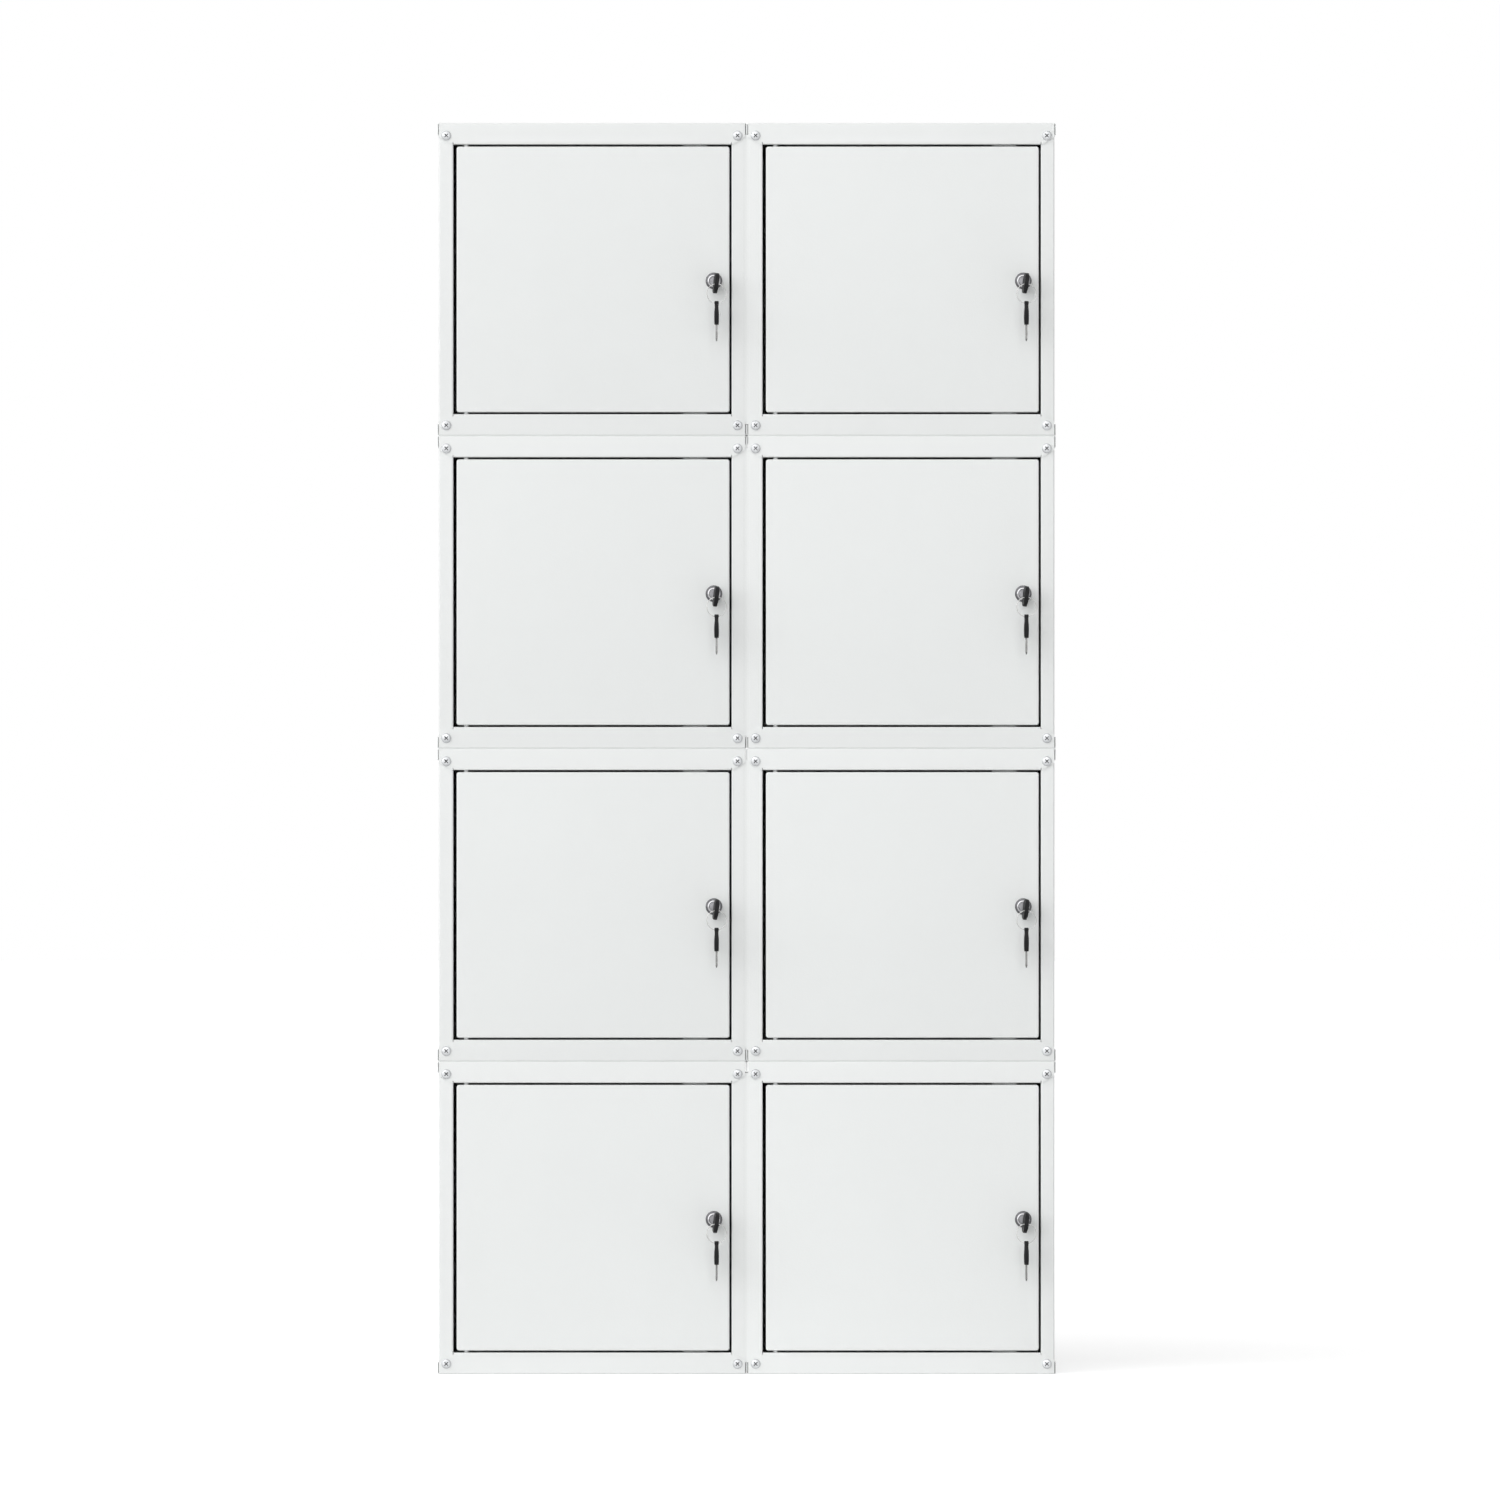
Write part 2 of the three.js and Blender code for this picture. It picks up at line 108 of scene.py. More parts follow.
class LOCKER_PG_case(bpy.types.PropertyGroup):
    depth: length("Depth", "Front of the rails to the back of a cube", 381)
    sheet: length("Sheet", "Thickness of the folded steel", 1)
    bend: length("Bend radius", "Outer radius of each fold", 1.6)
    fit: length("Fit", "Clearance between pieces that touch", 0.3)
    slit: length("Slit", "Gap between a side wall and the flange that laps it", 0.7)
    stile_left: length("Left stile", "Width of the left stile with its slit", 19.5)
    stile_right: length("Right stile", "Width of the right stile with its slit", 18.35)
    rail_top: length("Top rail", "Height of the rail over the door", 26.35)
    rail_bottom: length("Bottom rail", "Height of the rail under the door", 26.35)
    reveal: length("Reveal", "Depth of the folds round the door", 17)
    flange: length("Flange", "Height of the flanges outside the walls", 14)
    flange_setback: length("Flange setback", "Front of the rail to the end of a side flange", 2.5)
    corner_rise: length("Rail corner rise", "Height of the cut at a rail's free corner", 9)
    corner_inset: length("Rail corner inset", "Foot of that cut to the opening", 2)
    relief_width: length("Relief width", "Width of the notch beside a folded edge", 1.1)
    relief_height: length("Relief height", "Height of the notch beside a folded edge", 2.6)
    stop_width: length("Stop width", "Width of the tab that stops the door", 30)
    stop_height: length("Stop height", "Reach of the tab into the opening", 8)
    stop_offset: length("Stop offset", "Stile to the tab", 30)
    edge: length("Sheet edge", "Rounding that the paint gives to a cut edge", 0.18)


class LOCKER_PG_door(bpy.types.PropertyGroup):
    gap_left: length("Left gap", "Stile to the door on the hinge side", 4.2)
    gap_right: length("Right gap", "Stile to the door on the lock side", 2.6)
    gap_top: length("Top gap", "Rail to the door above", 2.6)
    gap_bottom: length("Bottom gap", "Rail to the door below", 2.5)
    depth: length("Door depth", "Thickness of the folded pan", 14.4)
    corner: length("Door corner", "Radius of the pan's corners", 3)
    bend: length("Door fold", "Outer radius of the pan's folds", 1.5)
    lip: length("Lip", "Width of the rear lips", 7)
    mitre: length("Mitre gap", "Gap between two lips at a corner", 0.5)
    pin_inset: length("Pin inset", "Door's left edge to the pivot pin", 11.7)
    pin_depth: length("Pin depth", "Door's front to the pivot pin", 7.2)
    pin_shoulder: length("Pin shoulder", "Radius of the pin's sleeve in the gap", 2.7)
    pin_stub: length("Pin stub", "Radius of the pin in the rail", 1.5)
    pin_reach: length("Pin reach", "Length of the stub past the rail's sheet", 2.5)
    pin_clearance: length("Pin clearance", "Play of the stub in its hole", 0.4)


class LOCKER_PG_lock(bpy.types.PropertyGroup):
    inset: length("Lock inset", "Door's right edge to the lock's axis", 19.15)
    height: length("Lock height", "Floor of the cube to the lock's axis", 190.7)
    bezel: length("Bezel", "Radius of the bezel at the door", 10.25)
    bezel_rim: length("Bezel rim", "Radius of the bezel's front edge", 9.0)
    bezel_height: length("Bezel height", "Reach of the bezel in front of the door", 2.4)
    bezel_foot: length("Bezel foot", "Height of the bezel's straight foot", 0.7)
    dish: length("Dish", "Outer radius of the bezel's hollow", 7.7)
    dish_depth: length("Dish depth", "Depth of that hollow", 0.55)
    barrel: length("Barrel", "Radius of the threaded body", 8)
    barrel_flat: length("Barrel flat", "Half the width over the body's flats", 6.6)
    barrel_length: length("Barrel length", "Front of the door to the body's rear end", 16.2)
    thread_pitch: length("Thread pitch", "Distance between the body's threads", 1.25)
    thread_depth: length("Thread depth", "Depth of the body's threads", 0.45)
    nut: length("Nut corners", "Radius over the nut's corners", 11.5)
    nut_height: length("Nut height", "Thickness of the nut", 4)
    plug: length("Plug", "Radius of the turning plug", 5.5)
    plug_recess: length("Plug recess", "Rim of the bezel to the plug's face", 0.4)
    plug_play: length("Plug play", "Gap round the plug", 0.25)
    keyway_width: length("Keyway width", "Width of the slot for the key", 3.3)
    keyway_height: length("Keyway height", "Height of the slot for the key", 8.4)
    keyway_depth: length("Keyway depth", "Depth of the slot for the key", 3)
    cam_gap: length("Cam gap", "Body's end to the cam", 1.1)
    cam_thickness: length("Cam thickness", "Thickness of the cam", 2)
    cam_length: length("Cam length", "Axis to the cam's tip", 33)
    cam_width: length("Cam width", "Width of the cam at the axis", 15)
    cam_tip: length("Cam tip", "Width of the cam at its tip", 11)
    cam_screw: length("Cam screw", "Radius of the screw head on the cam", 4.2)
    cam_screw_height: length("Cam screw height", "Height of that screw with its washer", 2.6)


class LOCKER_PG_keys(bpy.types.PropertyGroup):
    head_length: length("Head length", "Length of the moulded head", 29)
    head_width: length("Head width", "Width of the head", 25.3)
    head_neck: length("Head neck", "Width of the head at the blade", 15)
    head_flare: length("Head flare", "Height at which the head reaches its width", 8)
    head_thickness: length("Head thickness", "Greatest thickness of the head", 5.9)
    head_edge: length("Head edge", "Rounding of the head's edges", 1.1)
    head_drop: length("Head drop", "Blade's middle line to the head's", 3.2)
    thumb_width: length("Thumb hollow", "Width of the hollow for the thumb", 13)
    thumb_depth: length("Thumb depth", "Depth of that hollow", 0.7)
    hole: length("Ring hole", "Radius of the hole for the ring", 3)
    hole_inset: length("Ring hole inset", "End of the head to the hole's centre", 5.5)
    blade_length: length("Blade length", "Length of the blade past the head", 20.3)
    blade_width: length("Blade width", "Width of the blade", 7.6)
    blade_thickness: length("Blade thickness", "Thickness of the blade", 2.4)
    blade_tip: length("Blade tip", "Length of the pointed tip", 3)
    blade_cut: length("Blade cut", "Depth of the deepest cut", 1.5)
    blade_groove: length("Blade groove", "Depth of the groove along each side", 0.45)
    stand_off: length("Stand off", "Plug's face to the head of the key in it", 1.44)
    aside: length("Keyway offset", "Lock's axis to the middle of the keyway, to the right", 1.6)
    lean: angle("Lean", "Slant of the key in its slot, to the right", 4)
    turn: angle("Turn", "Turn of the key in the lock off the upright, clockwise", 7)
    lean_depth: length("Lean depth", "Depth in the lock about which the key leans", 5)
    ring: length("Ring radius", "Radius of the wire ring", 12)
    wire: length("Wire radius", "Radius of the ring's wire", 0.5)
    ring_rest: length("Ring rest", "Middle of the key's hole to the wire that hangs in it", 1)
    ring_wire_seat: length("Wire seat", "Wire radius for which the keys hang", 0.7)


class LOCKER_PG_fasteners(bpy.types.PropertyGroup):
    screw: length("Screw head", "Radius of a corner screw's head", 6)
    screw_height: length("Screw height", "Height of that head", 2.4)
    screw_side: length("Screw inset", "Side of the cube to a corner screw", 11)
    screw_drop: length("Screw drop", "Top of the cube to an upper screw", 15.5)
    screw_rise: length("Screw rise", "Floor of the cube to a lower screw", 12.6)
    recess: length("Cross recess", "Reach of the cross in a screw head", 3.1)
    recess_width: length("Cross width", "Width of the cross in a screw head", 1.15)
    recess_depth: length("Cross depth", "Depth of the cross in a screw head", 1.4)
    bolt: length("Bolt", "Radius of a joining bolt", 3)
    bolt_hole: length("Bolt hole", "Radius of its hole", 3.5)
    bolt_depth: length("Bolt place", "Front and sides of a cube to its bolts", 60)
    bolt_head: length("Bolt head", "Radius of a bolt's head", 7)
    bolt_head_height: length("Bolt head height", "Height of a bolt's head", 3.2)
    nut: length("Nut", "Radius over a nut's corners", 5.75)
    nut_height: length("Nut height", "Height of a nut", 5)
    plug: length("Hole plug", "Radius of the cap in an unused bolt hole", 5.6)
    plug_height: length("Hole plug height", "Height of that cap", 1.2)


class LOCKER_PG_finish(bpy.types.PropertyGroup):
    cabinet: tint("Cabinet paint", "Powder coat of the case", (0.82, 0.836, 0.83))
    door: tint("Door paint", "Powder coat of the doors", (0.815, 0.832, 0.826))
    chrome: tint("Chrome", "Plating of the bezels", (0.40, 0.40, 0.41))
    # Painted dark reflection: a dark copy of the bezel chrome on its flange and sloping edge, standing in
    # for the dark surroundings that this edge mirrors.
    chrome_painted_reflection: tint("Chrome edge", "Painted dark reflection on the bezels' flange", (0.10, 0.10, 0.105))
    cast: tint("Plug metal", "Bare metal of the plugs", (0.23, 0.23, 0.24))
    zinc: tint("Zinc", "Plating of screws, bolts, nuts, cams and lock bodies", (0.50, 0.51, 0.52))
    nickel: tint("Nickel", "Plating of the wire rings", (0.50, 0.50, 0.49))
    blade: tint("Blade", "Plating of the keys' blades", (0.17, 0.17, 0.168))
    nylon: tint("Key plastic", "Moulded heads of the keys", (0.010, 0.010, 0.011))
    # Painted shade: a dark copy of the zinc for the screws' cross recesses, where shade falls.
    recess: tint("Recess", "Painted shade in the screws' cross recesses", (0.10, 0.10, 0.103))
    # Painted shade: near-black strips put in the lower slits, where there is only shade.
    slit_shade: tint("Rubber", "Painted shade in the slits of the lower flanges", (0.02, 0.02, 0.021))
    cap: tint("Pale plastic", "Hole caps and the sleeves of the pivot pins", (0.86, 0.87, 0.865))
    # Painted shade: each cube's paint is made lighter at its upper left and darker at its lower right, by
    # this share from its middle.
    painted_shade: share("Fall", "Change of the paint from a cube's middle to two of its corners", 0.055)


class LOCKER_PG_studio(bpy.types.PropertyGroup):
    lens: FloatProperty(name="Lens", description="Focal length in millimetres", default=300, min=1,
                        subtype="DISTANCE_CAMERA", unit="CAMERA")
    view_width: length("View width", "Width of the picture at the front of the rails", 1848.9)
    aim_right: length("Aim", "Middle of the bank to the middle of the picture", 4.2)
    aim_down: length("Aim down", "Middle of the bank down to the middle of the picture", 1.8)
    sky: share("Sky", "Brightness of the even light all round", 0.25)
    lamp_strength: FloatProperty(name="Lamp", description="Strength of the soft lamp", default=3.5, min=0)
    lamp_width: angle("Lamp width", "Angle that the lamp fills, seen from the bank", 110)
    lamp_azimuth: angle("Lamp azimuth", "Turn of the lamp to the left of the view", 36)
    lamp_elevation: angle("Lamp elevation", "Height of the lamp over the level", 14)
    floor_radius: length("Floor radius", "Radius of the studio floor", 30000)
    floor_glow: share("Floor glow", "White that the camera sees on the floor over its own shade", 0.6)


# Places in a cube

def places():
    """Works out every place in a cube from the driving sizes and the frame."""
    scene = bpy.context.scene
    case, door, lock, keys = scene.locker_case, scene.locker_door, scene.locker_lock, scene.locker_keys
    top_low, top_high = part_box("top_panel_1")
    bottom_low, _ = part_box("bottom_panel_1")
    at = SimpleNamespace()
    at.width = top_high.x - top_low.x
    at.height = top_high.z - bottom_low.z
    at.side = case.sheet + case.slit
    at.front = case.sheet + case.fit
    at.back = case.depth - case.sheet - case.fit
    at.open_left = case.stile_left
    at.open_right = at.width - case.stile_right
    at.door_left = at.open_left + door.gap_left
    at.door_right = at.open_right - door.gap_right
    at.door_bottom = case.rail_bottom + door.gap_bottom
    at.door_top = at.height - case.rail_top - door.gap_top
    at.door_back = at.front + door.depth
    at.hinge_x = at.door_left + door.pin_inset
    at.hinge_y = at.front + door.pin_depth
    at.lock_x = at.door_right - lock.inset
    at.lock_z = lock.height
    at.bezel = at.front - lock.bezel_height
    at.plug = at.bezel + lock.plug_recess
    at.barrel_back = at.front + lock.barrel_length
    at.cam = at.barrel_back + lock.cam_gap
    at.key_base = at.plug - keys.stand_off
    hole_reach = keys.lean_depth - at.key_base + keys.head_length - keys.hole_inset
    swerve = keys.aside + hole_reach * math.sin(keys.lean)
    drop = swerve * math.sin(keys.turn) + keys.head_drop * math.cos(keys.turn)
    at.ring_x = at.lock_x + swerve * math.cos(keys.turn) - keys.head_drop * math.sin(keys.turn)
    at.ring_y = keys.lean_depth - hole_reach * math.cos(keys.lean)
    at.ring_top = at.lock_z - drop - keys.ring_rest
    at.spare_hole = at.ring_top - 2 * keys.ring - (keys.hole - keys.ring_wire_seat + case.fit)
    at.spare_base = at.spare_hole + keys.hole_inset - keys.head_length
    return at


def corner_of(number):
    """The lower left front corner of a cube, from the frame's boxes."""
    case = bpy.context.scene.locker_case
    panel_low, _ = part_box(f"top_panel_{number}")
    wrap_low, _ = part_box(f"case_wrap_{number}")
    floor_low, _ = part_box(f"bottom_panel_{number}")
    return Vector((panel_low.x, wrap_low.y - case.sheet - case.fit, floor_low.z))


# Modelling steps

@contextmanager
def editing(piece):
    """Edit mode on one piece, with nothing selected in it."""
    only(piece)
    bpy.ops.object.mode_set(mode="EDIT")
    bpy.ops.mesh.select_all(action="DESELECT")
    yield
    bpy.ops.object.mode_set(mode="OBJECT")


def only(piece):
    bpy.ops.object.select_all(action="DESELECT")
    piece.select_set(True)
    bpy.context.view_layer.objects.active = piece


def pick(kind, wanted):
    """Selects the verts, edges or faces that pass the test, and nothing else."""
    bpy.ops.mesh.select_mode(type=kind)
    bpy.ops.mesh.select_all(action="DESELECT")
    mesh = bmesh.from_edit_mesh(bpy.context.edit_object.data)
    for item in {"VERT": mesh.verts, "EDGE": mesh.edges, "FACE": mesh.faces}[kind]:
        if wanted(item):
            item.select_set(True)
    mesh.select_flush_mode()
    bmesh.update_edit_mesh(bpy.context.edit_object.data)


def near(value, target):
    return abs(value - target) < TOUCH


def middle(item):
    """The middle of an edge or a face."""
    corners = [vert.co for vert in item.verts]
    return sum(corners, Vector()) / len(corners)


def lies_on(axis, value):
    """A test for items whose every corner has that coordinate."""
    return lambda item: all(near(vert.co[axis], value) for vert in item.verts)


def turn_faces_out():
    """Turns the faces outwards, or all to one side of an open skin, and leaves them selected."""
    bpy.ops.mesh.select_all(action="SELECT")
    bpy.ops.mesh.normals_make_consistent(inside=False)


def push(*steps):
    """Extrudes what is selected, once for each step."""
    for step in steps:
        bpy.ops.mesh.extrude_region_move(TRANSFORM_OT_translate={"value": step})


def started(name, add, scale=(1, 1, 1), **values):
    """A new piece from one of Blender's primitives, with its place, turn and scale applied."""
    bpy.ops.object.select_all(action="DESELECT")
    add(**values)
    piece = bpy.context.active_object
    piece.name = piece.data.name = name
    piece.scale = scale
    bpy.ops.object.transform_apply(location=True, rotation=True, scale=True)
    return piece


def flat(name, low, high):
    """A flat rectangle between two corners that share one coordinate."""
    span = Vector(high) - Vector(low)
    thin = min(range(3), key=lambda axis: abs(span[axis]))
    turn = [(0, RIGHT_ANGLE, 0), (RIGHT_ANGLE, 0, 0), (0, 0, 0)][thin]
    scale = [(span.z, span.y, 1), (span.x, span.z, 1), (span.x, span.y, 1)][thin]
    return started(name, bpy.ops.mesh.primitive_plane_add, scale, size=1, rotation=turn,
                   location=(Vector(low) + Vector(high)) / 2)


def block(name, low, high):
    return started(name, bpy.ops.mesh.primitive_cube_add, Vector(high) - Vector(low), size=1,
                   location=(Vector(low) + Vector(high)) / 2)


def turned(name, axis, centre, profile, sides):
    """A piece turned about an axis: (place along the axis, radius) pairs from one end face to the other,
    or all the way round to the first pair for a piece with a bore."""
    turn = {"X": (0, RIGHT_ANGLE, 0), "Y": (-RIGHT_ANGLE, 0, 0), "Z": (0, 0, 0)}[axis]
    along = Vector([float(letter == axis) for letter in "XYZ"])
    place, radius = profile[0]
    filled = "NOTHING" if profile[-1] == profile[0] else "NGON"
    piece = started(name, bpy.ops.mesh.primitive_circle_add, vertices=sides, radius=radius,
                    fill_type=filled, location=Vector(centre) + along * place, rotation=turn)
    with editing(piece):
        bpy.ops.mesh.select_all(action="SELECT")
        for next_place, next_radius in profile[1:]:
            push(along * (next_place - place))
            scale = [1 if part else next_radius / radius for part in along]
            bpy.ops.transform.resize(value=scale, center_override=Vector(centre) + along * next_place)
            place, radius = next_place, next_radius
        bpy.ops.mesh.select_all(action="SELECT")
        bpy.ops.mesh.remove_doubles(threshold=TOUCH / 10)
        turn_faces_out()
    return piece


def modified(piece, kind, **values):
    """Applies one modifier with those settings."""
    only(piece)
    step = piece.modifiers.new(kind.title(), kind)
    for key, value in values.items():
        setattr(step, key, value)
    bpy.ops.object.modifier_apply(modifier=step.name)
    return piece


def cut(piece, *cutters):
    """Takes the cutters out of the piece and deletes them."""
    for cutter in cutters:
        modified(piece, "BOOLEAN", operation="DIFFERENCE", solver="EXACT", object=cutter)
        bpy.data.meshes.remove(cutter.data)
    return piece


def thicken(piece, thickness):
    """Gives a folded skin its sheet, on the inner side."""
    return modified(piece, "SOLIDIFY", thickness=thickness, offset=-1, use_even_offset=True)


def rounded(piece, width, segments=2, over=50):
    """Rounds every edge sharper than the angle."""
    return modified(piece, "BEVEL", width=width, segments=segments, limit_method="ANGLE",
                    angle_limit=math.radians(over))


def smooth(piece, up_to=35):
    """Smooth shading with true flats between the rounded edges."""
    only(piece)
    bpy.ops.object.shade_smooth_by_angle(angle=math.radians(up_to))
    return modified(piece, "WEIGHTED_NORMAL", keep_sharp=True)


def face_out(piece, axis, value, sign):
    """Turns an open skin's faces so that the flat at that place faces outwards."""
    with editing(piece):
        turn_faces_out()
        mesh = bmesh.from_edit_mesh(piece.data)
        largest = max(filter(lies_on(axis, value), mesh.faces), key=lambda face: face.calc_area())
        if largest.normal[axis] * sign < 0:
            bpy.ops.mesh.flip_normals()


def round_folds(radius, wanted, segments=4):
    """Rounds the folds that pass the test, at the end of the flat work."""
    pick("EDGE", lambda edge: len(edge.link_faces) == 2
         and edge.calc_face_angle() > FOLD_ANGLE and wanted(edge))
    bpy.ops.mesh.bevel(offset=radius, offset_type="OFFSET", segments=segments, profile=0.5,
                       affect="EDGES")


def copies(template, name, body, numbers=CUBES, stands_for=None):
    """Sets a copy of the template, with a mesh of its own, in each cube, and deletes the template."""
    made = []
    for number in numbers:
        piece = template.copy()
        piece.data = template.data.copy()
        piece.name = piece.data.name = f"{name}_{number}"
        piece.data.transform(Matrix.Translation(corner_of(number)))
        bpy.context.collection.objects.link(piece)
        finished(piece, body.format(number))
        if stands_for:
            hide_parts(f"{stands_for}_{number}")
        made.append(piece)
    bpy.data.meshes.remove(template.data)
    return made


def finished(piece, body):
    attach(piece, body)
    return piece


def coat(piece, *materials):
    for material in materials:
        piece.data.materials.append(material)
    return piece


def placed(piece, location, rotation=(0, 0, 0)):
    """Moves and turns a finished shape, and keeps its object at the origin."""
    piece.rotation_euler = rotation
    piece.location = location
    only(piece)
    bpy.ops.object.transform_apply(location=True, rotation=True, scale=True)
    return piece


# Finishes: noise sizes in waves per metre, the range that each field covers, and depths in metres

FILM_SIZE = 5.5
SPECKLE_SIZE = 1900
SPECKLE_RANGE = (0.992, 1.008)
SATIN_SIZE = 38
SATIN_RANGE = (0.36, 0.46)
PEEL_SIZE = 620.0
PEEL_DEPTH = 0.00022
LINE_SIZE = 1500
LINE_DULL_RANGE = (0.8, 1.2)
LINE_DEPTH = 0.00004
PATCH_SIZE = 210
PATCH_RANGE = (0.9, 1.08)
PATCH_DULL_RANGE = (1.2, 0.8)
WORN_SIZE = 130
WORN_RANGE = (0.96, 1.05)
WORN_DULL_RANGE = (0.82, 1.12)
GRAIN_SIZE = 3200
GRAIN_DEPTH = 0.00005
FLOOR_SIZE = 1.3
FLOOR_RANGE = (0.79, 0.81)
WHITE = (1, 1, 1, 1)


def fill(tree, made, values):
    """Gives a node its settings, and its inputs where it has no such setting: a value or a link."""
    for key, value in values.items():
        if hasattr(made, key):
            setattr(made, key, value)
        elif isinstance(value, bpy.types.NodeSocket):
            tree.links.new(value, made.inputs[key.replace("_", " ")])
        else:
            made.inputs[key.replace("_", " ")].default_value = value


def node(tree, kind, *sources, **values):
    """Adds a node, filled with the values, and links the sources to its first inputs."""
    made = tree.nodes.new(kind)
    fill(tree, made, values)
    for source, target in zip(sources, made.inputs):
        tree.links.new(source, target)
    return made


def noise_field(tree, where, scale, detail=2.0, roughness=0.5):
    return node(tree, "ShaderNodeTexNoise", Vector=where, Scale=scale, Detail=detail,
                Roughness=roughness).outputs[0]


def spread(tree, field, low, high, start=0.3, end=0.7):
    """Maps a field onto a range."""
    return node(tree, "ShaderNodeMapRange", Value=field, From_Min=start, From_Max=end, To_Min=low,
                To_Max=high).outputs[0]


def toned(tree, colour, tone):
    """A colour made lighter or darker by a field about one."""
    return node(tree, "ShaderNodeVectorMath", operation="SCALE", Vector=colour, Scale=tone).outputs[0]


def combined(tree, operation, first, second):
    """Two fields put together by a step of arithmetic."""
    return node(tree, "ShaderNodeMath", first, second, operation=operation).outputs[0]


def bumped(tree, height, distance, strength):
    return node(tree, "ShaderNodeBump", Height=height, Distance=distance, Strength=strength).outputs[0]


def painted_shade_across_cube(tree, where):
    """The height in a cube less the way across it, as shares: one at its upper left, minus one at its
    lower right. It sets the painted shade that makes each cube lighter at its upper left and darker at
    its lower right."""
    low, high = corner_of(CUBES[-COLUMNS]), corner_of(CUBES[COLUMNS - 1])
    pitch = Vector(((high.x - low.x) / (COLUMNS - 1), 1, (high.z - low.z) / (ROWS - 1)))
    fit = bpy.context.scene.locker_case.fit / 2
    steps = (("SUBTRACT", low - Vector((fit, fit, fit))), ("DIVIDE", pitch), ("FRACTION", None))
    for operation, value in steps:
        step = node(tree, "ShaderNodeVectorMath", where, operation=operation)
        if value:
            step.inputs[1].default_value = value
        where = step.outputs[0]
    parts = node(tree, "ShaderNodeSeparateXYZ", where).outputs
    return combined(tree, "SUBTRACT", parts["Z"], parts["X"])


def finish_group(name, inputs):
    """A new shader group with those inputs, which puts out a colour, a roughness and a normal."""
    group = bpy.data.node_groups.new(name, "ShaderNodeTree")
    kinds = {"colour": "NodeSocketColor", "value": "NodeSocketFloat", "vector": "NodeSocketVector"}
    for label, kind, default in inputs:
        socket = group.interface.new_socket(label, in_out="INPUT", socket_type=kinds[kind])
        socket.default_value = default
    for label, kind in (("Color", "colour"), ("Roughness", "value"), ("Normal", "vector")):
        group.interface.new_socket(label, in_out="OUTPUT", socket_type=kinds[kind])
    where = node(group, "ShaderNodeTexCoord").outputs["Object"]
    return group, node(group, "NodeGroupInput").outputs, where


def powder_coat_group(name):
    """Powder coat: an uneven film, fine speckle, painted shade that darkens each cube from its upper left
    to its lower right, a satin that varies, and orange peel.
    """
    group, given, where = finish_group(name, [
        ("Paint", "colour", (0.8, 0.8, 0.8, 1)),
        ("Unevenness", "value", 0.006),
        ("Fall", "value", 0.035),
        ("Peel size", "value", PEEL_SIZE),
    ])
    film = spread(group, noise_field(group, where, FILM_SIZE, detail=3), -1, 1)
    uneven = combined(group, "MULTIPLY", film, given["Unevenness"])
    # Painted shade: the paint grows lighter towards each cube's upper left and darker towards its lower
    # right.
    painted_shade = combined(group, "MULTIPLY", painted_shade_across_cube(group, where), given["Fall"])
    speckle = spread(group, noise_field(group, where, SPECKLE_SIZE, detail=1), *SPECKLE_RANGE)
    tone = combined(group, "ADD", combined(group, "ADD", uneven, painted_shade), speckle)
    satin = spread(group, noise_field(group, where, SATIN_SIZE, detail=3), *SATIN_RANGE)
    peel = noise_field(group, where, given["Peel size"], detail=1.5, roughness=0.45)
    node(group, "NodeGroupOutput", Color=toned(group, given["Paint"], tone), Roughness=satin,
         Normal=bumped(group, peel, PEEL_DEPTH, strength=0.35))
    return group


def worked_metal_group(name):
    """Plated metal: fine lines along one direction, dulled patches and a slight change of tone."""
    group, given, where = finish_group(name, [
        ("Metal", "colour", (0.6, 0.6, 0.6, 1)),
        ("Grain", "vector", (1.0, 1.0, 1.0)),
        ("Dull", "value", 0.3),
        ("Depth", "value", 0.3),
    ])
    stretched = node(group, "ShaderNodeVectorMath", where, given["Grain"], operation="MULTIPLY")
    lines = noise_field(group, stretched.outputs[0], LINE_SIZE)
    patches = noise_field(group, where, PATCH_SIZE, detail=3)
    dull = combined(group, "MULTIPLY", given["Dull"], spread(group, patches, *PATCH_DULL_RANGE))
    dull = combined(group, "MULTIPLY", dull, spread(group, lines, *LINE_DULL_RANGE))
    tone = spread(group, patches, *PATCH_RANGE)
    node(group, "NodeGroupOutput", Color=toned(group, given["Metal"], tone), Roughness=dull,
         Normal=bumped(group, lines, LINE_DEPTH, strength=given["Depth"]))
    return group


def moulded_plastic_group(name):
    """Moulded plastic: a fine spark-eroded grain, with parts that handling has polished."""
    group, given, where = finish_group(name, [
        ("Plastic", "colour", (0.02, 0.02, 0.02, 1)),
        ("Dull", "value", 0.45),
    ])
    worn = noise_field(group, where, WORN_SIZE)
    dull = combined(group, "MULTIPLY", given["Dull"], spread(group, worn, *WORN_DULL_RANGE))
    grain = noise_field(group, where, GRAIN_SIZE)
    tone = spread(group, worn, *WORN_RANGE)
    node(group, "NodeGroupOutput", Color=toned(group, given["Plastic"], tone), Roughness=dull,
         Normal=bumped(group, grain, GRAIN_DEPTH, strength=0.4))
    return group


def surface(name, finish, build, metallic=0.0, specular=0.5, **inputs):
    """A material with a finish group, which is built once, in front of its Principled shader."""
    material = bpy.data.materials.get(name)
    if material:
        return material
    material = bpy.data.materials.new(name)
    material.use_nodes = True
    tree = material.node_tree
    group = bpy.data.node_groups.get(finish) or build(finish)
    given = node(tree, "ShaderNodeGroup", node_tree=group, **inputs).outputs
    fill(tree, tree.nodes["Principled BSDF"], {
        "Metallic": metallic, "Specular IOR Level": specular, "Base Color": given["Color"],
        "Roughness": given["Roughness"], "Normal": given["Normal"],
    })
    return material


def opaque(colour):
    return (*colour, 1.0)


def paint():
    return bpy.context.scene.locker_finish


